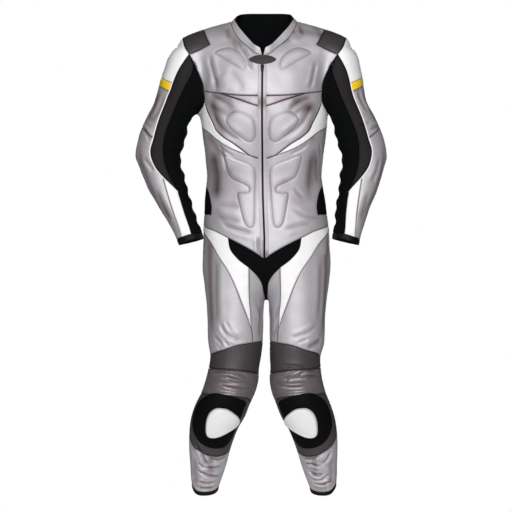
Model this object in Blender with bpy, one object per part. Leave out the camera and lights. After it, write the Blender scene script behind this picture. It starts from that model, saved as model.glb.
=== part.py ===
"""One-piece motorcycle race suit, filled out with no wearer. Run it with
blender --background --python part.py. Sizes in the tables are millimetres; the suit
faces -Y, its left side is +X, and the origin is the carrying point between the shoulders.

The suit's outside is one smooth field: a trunk, an arm and a leg, each a column of level
sections, blended where they meet. Seams are curves on that surface, and every sewn piece
is the part of it between its seams, given a wall. The left half is worked out and mirrored."""

import bpy
import numpy as np
from mathutils import Vector
from mathutils.geometry import delaunay_2d_cdt

MM = 0.001
WALL = 2.0  # leather and stretch alike
SEAM_GAP = 0.3
SEAM_STEP = 30.0  # spacing of the points along a seam
CLOTH_STEP = 37.0  # spacing of the points inside a piece

# ---- the form -------------------------------------------------------------------------

TRUNK_COLUMNS = ("up", "half_width", "middle", "half_depth", "square")
TRUNK = [
    (60, 66, 12, 56, 2.0), (12, 86, 12, 60, 2.0), (-6, 150, 11, 63, 2.0), (-24, 208, 9, 68, 2.0),
    (-42, 243, 7, 75, 2.05), (-60, 250, 5, 82, 2.1), (-80, 236, 3, 91, 2.2), (-110, 208, 1, 102, 2.3),
    (-150, 192, 0, 113, 2.4), (-200, 187, -1, 121, 2.4), (-240, 189, -2, 124, 2.4),
    (-276, 191, -3, 123, 2.4), (-312, 187, -4, 119, 2.4), (-348, 183, -4, 114, 2.35),
    (-384, 178, -3, 109, 2.3), (-420, 174, -2, 104, 2.3), (-456, 171, 0, 102, 2.3),
    (-492, 175, 1, 103, 2.3), (-528, 180, 3, 107, 2.3), (-564, 183, 4, 111, 2.3),
    (-600, 187, 5, 114, 2.3), (-672, 190, 7, 118, 2.3), (-726, 192, 8, 118, 2.3),
    (-780, 188, 6, 114, 2.3), (-834, 182, 3, 108, 2.3),
]
ARM_COLUMNS = ("up", "inner", "outer", "middle", "half_depth")
ARM = [
    (-42, 180, 247, 5, 46), (-60, 176, 256, 5, 54), (-78, 170, 272, 5, 60), (-96, 165, 283, 5, 65),
    (-132, 160, 294, 6, 70), (-168, 162, 304, 6, 73), (-204, 170, 311, 6, 74), (-240, 186, 322, 5, 73),
    (-276, 206, 341, 4, 71), (-312, 217, 357, 2, 69), (-348, 225, 369, 0, 67), (-384, 236, 376, -3, 65),
    (-402, 240, 376, -5, 64), (-420, 240, 370, -8, 62), (-456, 231, 358, -16, 59),
    (-492, 225, 345, -25, 56), (-528, 217, 327, -35, 52), (-564, 208, 309, -45, 48),
    (-600, 201, 292, -55, 44), (-636, 193, 277, -64, 41), (-665, 188, 268, -71, 39),
]
LEG_COLUMNS = ("up", "inner", "outer", "middle", "half_depth")
LEG = [
    (-600, 5, 188, 5, 104), (-700, 5, 190, 3, 101), (-780, 8, 186, 1, 98), (-834, 9.5, 180, -2, 95),
    (-880, 10, 176, -6, 91), (-924, 10.5, 175, -10, 87), (-960, 11, 173, -14, 83), (-996, 13, 165, -19, 78),
    (-1032, 17, 168, -24, 75), (-1068, 17, 175, -28, 74), (-1104, 25, 186, -30, 75),
    (-1140, 40, 202, -29, 76), (-1176, 54, 214, -25, 75), (-1212, 75, 220, -18, 72),
    (-1248, 90, 222, -8, 67), (-1284, 102, 222, 2, 62), (-1320, 112, 220, 12, 57),
    (-1356, 124, 219, 22, 52), (-1392, 137, 216, 32, 48), (-1420, 142, 214, 39, 46),
]
LIMB_SQUARE = 2.15
SHOULDER_ROOF, ROOF_BLEND = -50.0, 40.0  # where the sleeve head closes, and how softly
CUFF_STOP = ((-720, -690), (200, 0))  # added to the arm at a height, so that nothing is below the cuff
ARM_BLEND = 26.0
HIP_TOP, HIP_END = -700.0, -838.0  # over this height the trunk parts into two legs
GROOVE = ((-1000, -840, -700), (0, 6, 12))  # how softly the halves meet at a height

# How the filled suit hangs: both sleeves sway one way, the hips the other, the chest turns a little.
SWAY = [(-1500, 0), (-665, -13), (-610, -8), (-570, -2), (-530, 2), (-470, 6), (-400, 10), (-220, 12),
        (-120, 5), (-40, 0)]
LEAN = [(-1500, -3), (-1150, -3), (-1050, 1), (-960, 6), (-640, 6), (-520, 1), (-450, 0), (100, 0)]
TURN = 0.06
HANG_BLEND = 70.0  # the hang changes from trunk to sleeve over this distance

# Gathers of the stretch and of the loose leather, as waves cut into the surface. They are rows of
# troughs `pitch` apart, fading out at the sides (degrees round the limb) and at both ends.
SPREAD = {"trunk": 150.0, "arm": 66.0, "leg": 82.0}  # millimetres to a radian round each limb
GATHER = 41.0
GATHER_COLUMNS = ("limb", "at", "half_turn", "top", "foot", "pitch", "slant", "depth")
GATHERS = [
    ("arm", 288, 52, -275, -612, GATHER, 0.0, 4.5), ("leg", 0, 88, -1046, -1112, 36.0, -0.07, 5.5),
    ("leg", 350, 70, -1300, -1378, 34.0, 0.2, 4.5), ("leg", 182, 60, -1030, -1150, 60.0, 0.0, 5.0),
]
FADE = 14.0  # a wave grows to its depth over this length
SLEEVE_NEAR, SLEEVE_FADE = 12.0, 8.0  # the sleeve's waves end this far off the arm, over this width


def fine_column(rows):
    """Rows of a section table as smooth curves: cubics through them, read every 3 mm."""
    rows = np.array(rows[::-1], float)
    up, values = rows[:, 0], rows[:, 1:]
    slope = np.gradient(values, up, axis=0)
    fine = np.arange(up[0], up[-1] + 1.5, 3.0)
    i = np.clip(np.searchsorted(up, fine, side="right") - 1, 0, len(up) - 2)
    span = (up[i + 1] - up[i])[:, None]
    t = np.clip((fine - up[i])[:, None] / span, 0, 1)
    return fine, (
        (2 * t**3 - 3 * t**2 + 1) * values[i] + (t**3 - 2 * t**2 + t) * span * slope[i]
        + (3 * t**2 - 2 * t**3) * values[i + 1] + (t**3 - t**2) * span * slope[i + 1]
    )


FINE = {"trunk": fine_column(TRUNK), "arm": fine_column(ARM), "leg": fine_column(LEG)}


def section(limb, up):
    """Centre across, centre depth, half width, half depth and squareness of a limb at a height."""
    fine, values = FINE[limb]
    a, b, c, d = (np.interp(up, fine, values[:, k]) for k in range(4))
    if limb == "trunk":
        return np.zeros_like(a), b, a, c, d
    return (a + b) / 2, c, (b - a) / 2, d, np.full_like(a, LIMB_SQUARE)


def level_distance(limb, p, across):
    """Distance to a limb's section in its own level plane, along the ray from the centre."""
    cx, cy, a, b, n = section(limb, p[:, 2])
    dx, dy = across - cx, p[:, 1] - cy
    r = np.hypot(dx, dy) + 1e-9
    rho = (np.abs(dx / a) ** n + np.abs(dy / b) ** n) ** (1 / n) + 1e-9
    return r - r / rho


def smooth_step(x):
    x = np.clip(x, 0, 1)
    return x * x * (3 - 2 * x)


def soft_min(a, b, k):
    h = np.maximum(k - np.abs(a - b), 0) / k
    return np.minimum(a, b) - h * h * k / 4


def trunk_field(p):
    legs = smooth_step((HIP_TOP - p[:, 2]) / (HIP_TOP - HIP_END))
    across = np.hypot(p[:, 0], np.interp(p[:, 2], *GROOVE))
    return (1 - legs) * level_distance("trunk", p, p[:, 0]) + legs * level_distance("leg", p, across)


def arm_field(p):
    arm = level_distance("arm", p, np.abs(p[:, 0]))
    return -soft_min(-arm, -(p[:, 2] - SHOULDER_ROOF), ROOF_BLEND) + np.interp(p[:, 2], *CUFF_STOP)


def gathered(p, arm):
    """Depth of the gathers at points, with the distance of each from the arm."""
    depth, across = 0.0, np.abs(p[:, 0])
    for limb, at, half_turn, top, foot, pitch, slant, deep in GATHERS:
        cx, cy, *_ = section(limb, p[:, 2])
        turn = np.arctan2(across - cx, cy - p[:, 1]) - np.radians(at)
        turn = (turn + np.pi) % (2 * np.pi) - np.pi
        up = p[:, 2] + slant * turn * SPREAD[limb]
        fade = smooth_step((top - up) / FADE) * smooth_step((up - foot) / FADE)
        fade = fade * smooth_step(2 - 2 * np.abs(turn) / np.radians(half_turn))
        if limb == "arm":
            fade = fade * smooth_step((SLEEVE_NEAR - arm) / SLEEVE_FADE)
        depth = depth + deep * fade * (0.5 - 0.5 * np.cos(2 * np.pi * up / pitch))
    return depth


def field(p):
    """Below 0 inside the filled suit, above 0 outside."""
    arm = arm_field(p)
    return soft_min(trunk_field(p), arm, ARM_BLEND) + gathered(p, arm)


def gradient(p):
    steps = np.eye(3) * 0.5
    return np.stack([field(p + s) - field(p - s) for s in steps], axis=1)


def normal(p):
    g = gradient(p)
    return g / np.linalg.norm(g, axis=1, keepdims=True)


def settle(p, turns=4):
    """Moves points onto the surface by Newton steps along the gradient."""
    for _ in range(turns):
        g = gradient(p)
        p = p - field(p)[:, None] * g / np.maximum((g * g).sum(axis=1, keepdims=True), 1e-9)
    return p


def first_crossing(start, way, step, count):
    """Where rays first cross the surface: a march of `count` steps, then halving."""
    reach = np.arange(count) * step
    trail = start[:, None] + reach[None, :, None] * way[:, None]
    value = field(trail.reshape(-1, 3)).reshape(len(start), count)
    crossed = np.sign(value) != np.sign(value[:, :1])
    last = np.maximum(np.argmax(crossed, axis=1), 1)
    low, high = reach[last - 1], reach[last]
    sign = np.sign(value[:, 0])
    for _ in range(12):
        middle = (low + high) / 2
        same = np.sign(field(start + middle[:, None] * way)) == sign
        low, high = np.where(same, middle, low), np.where(same, high, middle)
    return start + ((low + high) / 2)[:, None] * way


def posed(p):
    """The hang of the filled suit, which only shifts points across."""
    arm = smooth_step(0.5 + (trunk_field(p) - arm_field(p)) / HANG_BLEND)
    sway, lean = (np.interp(p[:, 2], *zip(*rows)) for rows in (SWAY, LEAN))
    out = p.copy()
    out[:, 0] += (1 - arm) * (lean + TURN * p[:, 1]) - arm * sway
    return out


# ---- seams ----------------------------------------------------------------------------

# A place on the surface: the side it is seen from, then across and up (front, back),
# across and depth (top, under, crotch), or degrees round the limb from its front and up.
PLACES = {
    "neck_front": ("front", 3, -94), "neck_side": ("top", 97, 8), "neck_back": ("back", 0, 0),
    "shoulder": ("top", 183, 8), "patch_in": ("front", 160, -64), "patch_out": ("front", 222, -93),
    "patch_top": ("top", 244, 6), "patch_rear_out": ("back", 222, -98), "patch_rear_in": ("back", 155, -70),
    "chest_arm": ("front", 177, -204), "chest_tip": ("front", 128, -211), "chest_zip": ("front", 3, -219),
    "inset_zip": ("front", 3, -252), "flash_arm": ("front", 176, -232), "armpit": ("under", 198, 0),
    "sleeve_rear": ("back", 188, -168), "flash_side": ("trunk", 90, -302), "flash_tip": ("front", 39, -397),
    "rib_zip": ("front", 3, -409), "inset_top": ("trunk", 88, -484), "inset_front": ("front", 160, -572),
    "inset_side": ("trunk", 92, -572), "inset_rear": ("back", 150, -572), "hip_side": ("trunk", 90, -604),
    "hip_vee": ("front", 110, -642), "hip_zip": ("front", 3, -702), "hip_rear": ("trunk", 118, -606),
    "hip_back": ("back", 0, -620), "gusset_turn": ("front", 47, -731), "crotch": ("leg", 262, -833),
    "crotch_mid": ("crotch", 0, 10),
    "thigh_tip": ("front", 40, -913), "knee_in": ("front", 36, -955), "knee_outer": ("leg", 100, -1000),
    "knee_inner": ("leg", 268, -950), "stretch_outer": ("leg", 100, -1030), "stretch_inner": ("leg", 266, -1050),
    "guard_outer": ("leg", 98, -1108), "guard_inner": ("leg", 265, -1128), "shin_outer": ("leg", 86, -1228),
    "shin_inner": ("leg", 270, -1272), "hem_outer": ("leg", 68, -1384), "hem_inner": ("leg", 262, -1388),
    "band_front": ("front", 265, -180), "band_low": ("front", 272, -205), "band_rear": ("arm", 218, -196),
    "band_low_rear": ("arm", 221, -221), "elbow_front": ("front", 321, -345), "elbow_rear": ("arm", 228, -330),
    "white_tip": ("front", 297, -459), "strip_end": ("front", 254, -504), "cuff_outer": ("front", 259, -640),
    "cuff_inner": ("front", 228, -630), "cuff_rear": ("arm", 222, -632),
}

# Each seam runs through named places, where other seams meet it, and plain ones between.
SEAMS = {
    "neckline": ["neck_front", ("front", 21, -90), ("front", 38, -76), ("front", 73, -45), ("front", 93, -12),
                 "neck_side", ("back", 80, -3), ("back", 45, 0), "neck_back"],
    "shoulder": ["neck_side", ("top", 140, 8), "shoulder"],
    "patch_neck": ["patch_in", ("front", 171, -42), "shoulder", ("back", 171, -44), "patch_rear_in"],
    "patch_front": ["patch_in", ("front", 191, -80), "patch_out"],
    "patch_back": ["patch_rear_in", ("back", 190, -86), "patch_rear_out"],
    "patch_arm": ["patch_out", ("front", 237, -68), "patch_top", ("back", 237, -70), "patch_rear_out"],
    "armhole": ["patch_out", ("front", 197, -138), ("front", 180, -180), "chest_arm", "flash_arm",
                ("front", 184, -252), "armpit", ("back", 186, -250), ("back", 181, -212), "sleeve_rear",
                ("back", 203, -130), "patch_rear_out"],
    "zip_edge": ["neck_front", ("front", 3, -150), "chest_zip", "inset_zip", ("front", 3, -330), "rib_zip",
                 ("front", 3, -500), ("front", 3, -600), "hip_zip"],
    "chest": ["chest_arm", ("front", 152, -208), "chest_tip"],
    "chest_high": ["chest_tip", ("front", 72, -217), "chest_zip"],
    "chest_low": ["chest_tip", ("front", 72, -229), ("front", 33, -243), "inset_zip"],
    "flash_high": ["flash_arm", ("front", 152, -293), ("front", 139, -321), ("front", 117, -342),
                   ("front", 84, -363), "flash_tip"],
    "flash_low": ["flash_side", ("front", 166, -325), ("front", 132, -353), ("front", 92, -377), "flash_tip"],
    "rib": ["flash_tip", "rib_zip"],
    "side_high": ["armpit", ("trunk", 90, -286), "flash_side", ("trunk", 90, -390), "inset_top"],
    "inset_front": ["inset_top", ("front", 167, -502), ("front", 159, -543), "inset_front"],
    "inset_foot": ["inset_front", "inset_side", "inset_rear"],
    "inset_rear": ["inset_top", ("back", 162, -520), "inset_rear"],
    "side_low": ["inset_side", "hip_side"],
    "hip": ["hip_zip", ("front", 52, -672), "hip_vee", ("front", 150, -622), "hip_side", "hip_rear",
            ("trunk", 150, -613), "hip_back"],
    "gusset": ["hip_vee", ("front", 103, -676), ("front", 79, -706), "gusset_turn", ("front", 24, -757),
               ("front", 15, -784), ("front", 11, -806), "crotch"],
    "thigh_high": ["hip_side", ("front", 162, -658), ("front", 137, -700), ("front", 113, -735),
                   ("front", 92, -775), ("front", 70, -829), "thigh_tip", "knee_in"],
    "thigh_low": ["gusset_turn", ("front", 46, -830), "thigh_tip"],
    "crotch": ["crotch", "crotch_mid"],
    "seat": ["hip_rear", ("back", 150, -700), ("back", 96, -792), ("back", 42, -838), "crotch"],
    "leg_outer": ["hip_rear", ("leg", 108, -700), ("leg", 104, -850), "knee_outer", "stretch_outer",
                  "guard_outer", "shin_outer", ("leg", 76, -1310), "hem_outer"],
    "leg_inner": ["knee_inner", "stretch_inner", "guard_inner", "shin_inner", "hem_inner"],
    "knee_top": ["knee_outer", ("leg", 60, -988), ("front", 118, -975), ("front", 78, -962), "knee_in", "knee_inner"],
    "knee_rear": ["knee_outer", ("leg", 140, -1008), ("leg", 184, -1006), ("leg", 228, -985), "knee_inner"],
    "stretch_top": ["stretch_outer", ("leg", 50, -1032), ("leg", 0, -1036), ("leg", -50, -1043), "stretch_inner"],
    "guard_top": ["guard_outer", ("leg", 50, -1108), ("leg", 0, -1112), ("leg", -50, -1120), "guard_inner"],
    "shin_top": ["shin_outer", ("leg", 50, -1262), ("front", 166, -1290), ("front", 124, -1294), "shin_inner"],
    "hem_front": ["hem_outer", ("leg", 30, -1401), ("leg", -10, -1404), ("leg", -60, -1396), "hem_inner"],
    "hem_rear": ["hem_outer", ("leg", 110, -1374), ("leg", 160, -1366), ("leg", 215, -1372), "hem_inner"],
    "piped": ["patch_out", ("front", 250, -138), "band_front", "band_low", ("front", 304, -287), "elbow_front",
              ("front", 331, -384), ("front", 321, -425), "white_tip", "strip_end"],
    "strip": ["patch_out", ("front", 206, -138), ("front", 230, -198), ("front", 260, -267), ("front", 286, -335),
              ("front", 291, -392), ("front", 280, -447), "strip_end"],
    "white_in": ["strip_end", ("front", 241, -566), "cuff_inner"],
    "white_out": ["white_tip", ("front", 287, -504), ("front", 268, -591), "cuff_outer"],
    "sleeve_rear": ["sleeve_rear", "band_rear", "band_low_rear", ("arm", 228, -270), "elbow_rear",
                    ("arm", 228, -420), ("arm", 225, -520), "cuff_rear"],
    "band_top": ["band_front", ("arm", 60, -166), ("arm", 90, -160), ("arm", 150, -172), "band_rear"],
    "band_foot": ["band_low", ("arm", 60, -190), ("arm", 90, -184), ("arm", 150, -197), "band_low_rear"],
    "elbow": ["elbow_front", ("arm", 60, -318), ("arm", 90, -308), ("arm", 150, -314), "elbow_rear"],
    "cuff_white": ["cuff_outer", "cuff_inner"],
    "cuff_under": ["cuff_inner", ("arm", 310, -628), ("arm", 265, -627), "cuff_rear"],
    "cuff_over": ["cuff_outer", ("arm", 90, -647), ("arm", 135, -645), ("arm", 180, -639), "cuff_rear"],
}
# Points lie closer together along seams where the surface turns sharply.
TIGHT_SEAMS = {"armhole": 14.0, "gusset": 14.0, "seat": 14.0, "crotch": 6.0}
FAR = {"front": (-1, 300), "back": (1, 300)}
UNDER_START = {"under": -322.0, "crotch": -900.0}
AXIS = np.array([[0.0, 0.0, 1.0]])
OFF_CENTRE = 10.0  # rays start this far from a limb's centre, where the sections meet


def find_place(place):
    """The surface point that a row of the tables names."""
    side, one, two = PLACES[place] if isinstance(place, str) else place
    if side in FAR:
        sign, far = FAR[side]
        return first_crossing(np.array([[one, sign * far, two]]), np.array([[0, -sign, 0.0]]), step=4.0, count=140)[0]
    if side == "top":
        return first_crossing(np.array([[one, two, 90.0]]), -AXIS, step=3.0, count=120)[0]
    if side in UNDER_START:
        return first_crossing(np.array([[one, two, UNDER_START[side]]]), AXIS, step=2.0, count=120)[0]
    return from_round(side, np.array([[np.radians(one), two]]))[0]


def from_round(limb, polar):
    """Points on the surface at angles round a limb's centre and heights."""
    cx, cy, *_ = section(limb, polar[:, 1])
    way = np.stack([np.sin(polar[:, 0]), -np.cos(polar[:, 0]), 0 * polar[:, 0]], axis=1)
    start = np.stack([cx, cy, polar[:, 1]], axis=1) + OFF_CENTRE * way
    return first_crossing(start, way, step=4.0, count=80)


def along(points, count):
    """A polyline at `count` + 1 even steps of its length."""
    run = np.concatenate([[0], np.cumsum(np.linalg.norm(np.diff(points, axis=0), axis=1))])
    at = np.linspace(0, run[-1], count + 1)
    return np.stack([np.interp(at, run, points[:, k]) for k in range(3)], axis=1)


def spline(points, steps=24):
    """A Catmull-Rom curve through the points, `steps` samples a span."""
    ends = np.concatenate([2 * points[:1] - points[1:2], points, 2 * points[-1:] - points[-2:-1]])
    t = (np.arange(steps) / steps)[:, None]
    spans = [
        0.5 * (2 * b + (c - a) * t + (2 * a - 5 * b + 4 * c - d) * t**2 + (3 * b - a - 3 * c + d) * t**3)
        for a, b, c, d in zip(ends, ends[1:], ends[2:], ends[3:])
    ]
    return np.concatenate(spans + [points[-1:]])


def cut_runs():
    """Every stretch of seam between two named places, as evenly spaced surface points."""
    runs, steps = {}, 24
    for name, places in SEAMS.items():
        step = TIGHT_SEAMS.get(name, SEAM_STEP)
        curve = settle(spline(np.array([find_place(p) for p in places]), steps))
        stops = [i for i, p in enumerate(places) if isinstance(p, str)]
        for a, b in zip(stops, stops[1:]):
            piece = curve[a * steps : b * steps + 1]
            length = np.linalg.norm(np.diff(piece, axis=0), axis=1).sum()
            run = settle(along(piece, max(1, round(length / step))))
            run[0], run[-1] = find_place(places[a]), find_place(places[b])
            runs[name, places[a], places[b]] = run
    return runs


RUNS = cut_runs()


def chain(seam, start, end):
    """The points of a seam from one named place to another, either way along it."""
    stops = [p for p in SEAMS[seam] if isinstance(p, str)]
    a, b = stops.index(start), stops.index(end)
    if a > b:
        return chain(seam, end, start)[::-1]
    pieces = [RUNS[seam, stops[i], stops[i + 1]] for i in range(a, b)]
    return np.concatenate([pieces[0]] + [p[1:] for p in pieces[1:]])


# ---- flat maps of the surface, in which a piece is divided into triangles ----------------

SADDLE_HUB, SADDLE_SPREAD = (0.0, -640.0), 150.0


def stretched_height():
    """Length along the trunk's side outline, which evens out the steps over the shoulders."""
    fine, values = FINE["trunk"]
    slope = np.gradient(values[:, 0], fine)
    run = np.concatenate([[0], np.cumsum(np.hypot(1, (slope[1:] + slope[:-1]) / 2) * 3.0)])
    return fine, run


HEIGHTS = stretched_height()


def flatten(chart, p):
    if chart == "saddle":
        turn = np.arctan2(SADDLE_HUB[1] - p[:, 2], SADDLE_HUB[0] - p[:, 1])
        turn = np.where(turn < -np.pi / 2, turn + 2 * np.pi, turn)
        return np.stack([p[:, 0], turn * SADDLE_SPREAD], axis=1)
    cx, cy, *_ = section(chart, p[:, 2])
    turn = np.arctan2(p[:, 0] - cx, cy - p[:, 1])
    up = np.interp(p[:, 2], *HEIGHTS) if chart == "trunk" else p[:, 2]
    return np.stack([np.unwrap(turn) * SPREAD[chart], up], axis=1)


def unflatten(chart, flat):
    if chart == "saddle":
        turn = flat[:, 1] / SADDLE_SPREAD
        start = np.stack([flat[:, 0], 0 * turn + SADDLE_HUB[0], 0 * turn + SADDLE_HUB[1]], axis=1)
        way = np.stack([0 * turn, -np.cos(turn), -np.sin(turn)], axis=1)
        return first_crossing(start, way, step=4.0, count=80)
    up = np.interp(flat[:, 1], HEIGHTS[1], HEIGHTS[0]) if chart == "trunk" else flat[:, 1]
    return from_round(chart, np.stack([flat[:, 0] / SPREAD[chart], up], axis=1))


def edge_distance(points, outline):
    """Signed distance of flat points from an outline, above 0 inside it."""
    a, b = outline, np.roll(outline, -1, axis=0)
    edge = b - a
    t = ((points[:, None] - a) * edge).sum(2) / np.maximum((edge**2).sum(1), 1e-9)
    near = a + np.clip(t, 0, 1)[..., None] * edge
    distance = np.linalg.norm(points[:, None] - near, axis=2).min(axis=1)
    x, y = points[:, :1], points[:, 1:]
    crosses = ((a[:, 1] > y) != (b[:, 1] > y)) & (
        x < edge[:, 0] * (y - a[:, 1]) / np.where(edge[:, 1] == 0, 1e-9, edge[:, 1]) + a[:, 0]
    )
    return np.where(crosses.sum(axis=1) % 2 == 1, distance, -distance)


ROW_RISE = 0.87


def inside_grid(outline, step, keep_off):
    """Staggered grid points inside an outline and clear of its edge."""
    low, high = outline.min(axis=0), outline.max(axis=0)
    rise = step * ROW_RISE
    rows = np.arange(np.ceil(low[1] / rise), high[1] / rise) * rise  # at whole steps, so that waves fit
    across = np.arange(low[0] - step, high[0] + step, step)
    x, y = np.meshgrid(across, rows)
    x = x + (np.arange(len(rows)) % 2 * step / 2)[:, None]
    points = np.stack([x.ravel(), y.ravel()], axis=1)
    return points[edge_distance(points, outline) > keep_off]


# ---- sewn pieces ------------------------------------------------------------------------

PAD_SLOPE = 8.0  # a pad's side runs out over this width
PAD_RISE = 4.0


def seam_inset(points, normals, way):
    """Half the seam gap towards the piece, mitred at corners; `way` is 1 on a left-turning outline."""
    ahead = np.roll(points, -1, axis=0) - points
    ahead /= np.linalg.norm(ahead, axis=1, keepdims=True)
    sides = way * np.cross(normals, ahead)
    sides /= np.linalg.norm(sides, axis=1, keepdims=True)
    before = np.roll(sides, 1, axis=0)
    mitre = (sides + before) / np.maximum(1 + (sides * before).sum(axis=1, keepdims=True), 0.03)
    return mitre * SEAM_GAP / 2


def turn_area(ring):
    """Twice the area of a flat outline, above 0 where it turns left."""
    after = np.roll(ring, -1, axis=0)
    return (ring[:, 0] * after[:, 1] - ring[:, 1] * after[:, 0]).sum()


def shrunk(ring, by):
    """A closed outline moved in by a distance, square to its own run."""
    ahead = np.roll(ring, -1, axis=0) - np.roll(ring, 1, axis=0)
    side = np.stack([-ahead[:, 1], ahead[:, 0]], axis=1) / np.linalg.norm(ahead, axis=1, keepdims=True)
    return ring + by * np.sign(turn_area(ring)) * side


def on_front(outline):
    return np.array([find_place(("front", x, z)) for x, z in outline])


def cloth_mesh(loop, chart, step, pads=(), inner_at=-WALL, outer_at=0.0, gap=True):
    """Points and faces of a piece inside its outline: an outer skin, an inner one and the cut
    edge between them. Pads are outlines in x and z, whose tops stand out from the outer skin."""
    flat, count = flatten(chart, loop), len(loop)
    rings = []
    for outline in pads:
        for by, lift in ((0.0, 0.0), (PAD_SLOPE, PAD_RISE)):
            ring = on_front(shrunk(np.array(outline, float), by))
            rings.append((flatten(chart, ring), ring, lift))
    grid = inside_grid(flat, step, step * 0.42)
    for ring, *_ in rings:
        grid = grid[np.abs(edge_distance(grid, ring)) > step * 0.25]
    marks = np.concatenate([flat] + [ring for ring, *_ in rings] + [grid])
    inside = [unflatten(chart, grid)] if len(grid) else []
    points = np.concatenate([loop] + [on for _, on, _ in rings] + inside)
    edges = [(i, (i + 1) % count) for i in range(count)]
    lift, start = np.zeros(len(marks)), count
    for ring, _, height in rings:
        edges += [(start + i, start + (i + 1) % len(ring)) for i in range(len(ring))]
        if height:
            lift[edge_distance(marks, ring) > -1e-6] = height
        start += len(ring)
    flat_points, _, found, origin, *_ = delaunay_2d_cdt([Vector(m) for m in marks], edges, [], 1, 1e-6, True)
    if len(flat_points) != len(marks):
        raise ValueError("an outline crosses itself")
    faces = np.array([[origin[i][0] for i in face] for face in found])
    faces = faces[edge_distance(marks[faces].mean(axis=1), flat) > 0].tolist()
    normals = normal(points)
    a, b, c = (points[np.array(faces)[:, k]] for k in range(3))
    agree = (np.cross(b - a, c - a) * normals[np.array(faces)[:, 0]]).sum() > 0
    if not agree:
        faces = [face[::-1] for face in faces]
    way = 1 if (turn_area(flat) > 0) == agree else -1
    if gap:
        points[:count] += seam_inset(points[:count], normals[:count], way)
    outer = points + normals * (lift + outer_at)[:, None]
    inner = points + normals * inner_at
    size = len(points)
    rim = [tri for i in range(count) for j in [(i + 1) % count]
           for tri in ([j, i, size + i], [j, size + i, size + j])]
    if way < 0:
        rim = [tri[::-1] for tri in rim]
    under = [[size + i for i in face[::-1]] for face in faces]
    return np.concatenate([outer, inner]), faces + under + rim


def finish_material(name, colour, roughness, metallic=0.0):
    material = bpy.data.materials.new(name)
    material.use_nodes = True
    shader = material.node_tree.nodes["Principled BSDF"]
    shader.inputs["Base Color"].default_value = (*colour, 1)
    shader.inputs["Roughness"].default_value = roughness
    shader.inputs["Metallic"].default_value = metallic
    return material


def add_object(name, points, faces, finish):
    mesh = bpy.data.meshes.new(name)
    mesh.from_pydata((posed(points) * MM).tolist(), [], faces)
    mesh.materials.append(FINISHES[finish])
    bpy.context.scene.collection.objects.link(bpy.data.objects.new(name, mesh))


def add_pair(name, points, faces, finish):
    """The wearer's left piece and its mirror image."""
    add_object(name + "_left", points, faces, finish)
    add_object(name + "_right", points * (-1, 1, 1), [face[::-1] for face in faces], finish)


for old in list(bpy.data.objects):
    bpy.data.objects.remove(old, do_unlink=True)

FINISHES = {
    name: finish_material(name, *values)
    for name, values in {
        "silver_leather": ((0.52, 0.50, 0.52), 0.42, 0.2),
        "white_leather": ((0.85, 0.85, 0.85), 0.45),
        "yellow_leather": ((0.93, 0.58, 0.02), 0.45),
        "grey_leather": ((0.07, 0.058, 0.062), 0.5),
        "black_leather": ((0.008, 0.008, 0.01), 0.45),
        "black_stretch": ((0.01, 0.01, 0.012), 0.8),
        "black_metal": ((0.02, 0.02, 0.022), 0.35, 0.8),
        "black_plastic": ((0.01, 0.01, 0.011), 0.4),
        "white_plastic": ((0.86, 0.86, 0.85), 0.35),
    }.items()
}

# Pads, as outlines in across and up on the front.
CHEST_PAD = [(145, -88), (122, -76), (100, -74), (77, -84), (58, -102), (50, -122), (56, -139), (72, -135),
             (102, -116), (128, -101)]
RIB_PAD = [(108, -290), (97, -273), (78, -266), (46, -277), (27, -291), (20, -316), (21, -342), (32, -356),
           (48, -354), (76, -333), (99, -311)]
BELLY_PAD = [(114, -396), (107, -438), (95, -462), (70, -476), (45, -489), (42, -502), (58, -506), (76, -510),
             (71, -545), (61, -590), (50, -609), (34, -611), (26, -590), (22, -505), (21, -448), (36, -426),
             (72, -411)]

# Pieces with gathers or a slider on them have their points closer together.
FINER = {"knee_surround": 26.0, "sleeve_stretch": GATHER / 2 / ROW_RISE, "knee_stretch": 15.0, "shin": 17.0}

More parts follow.
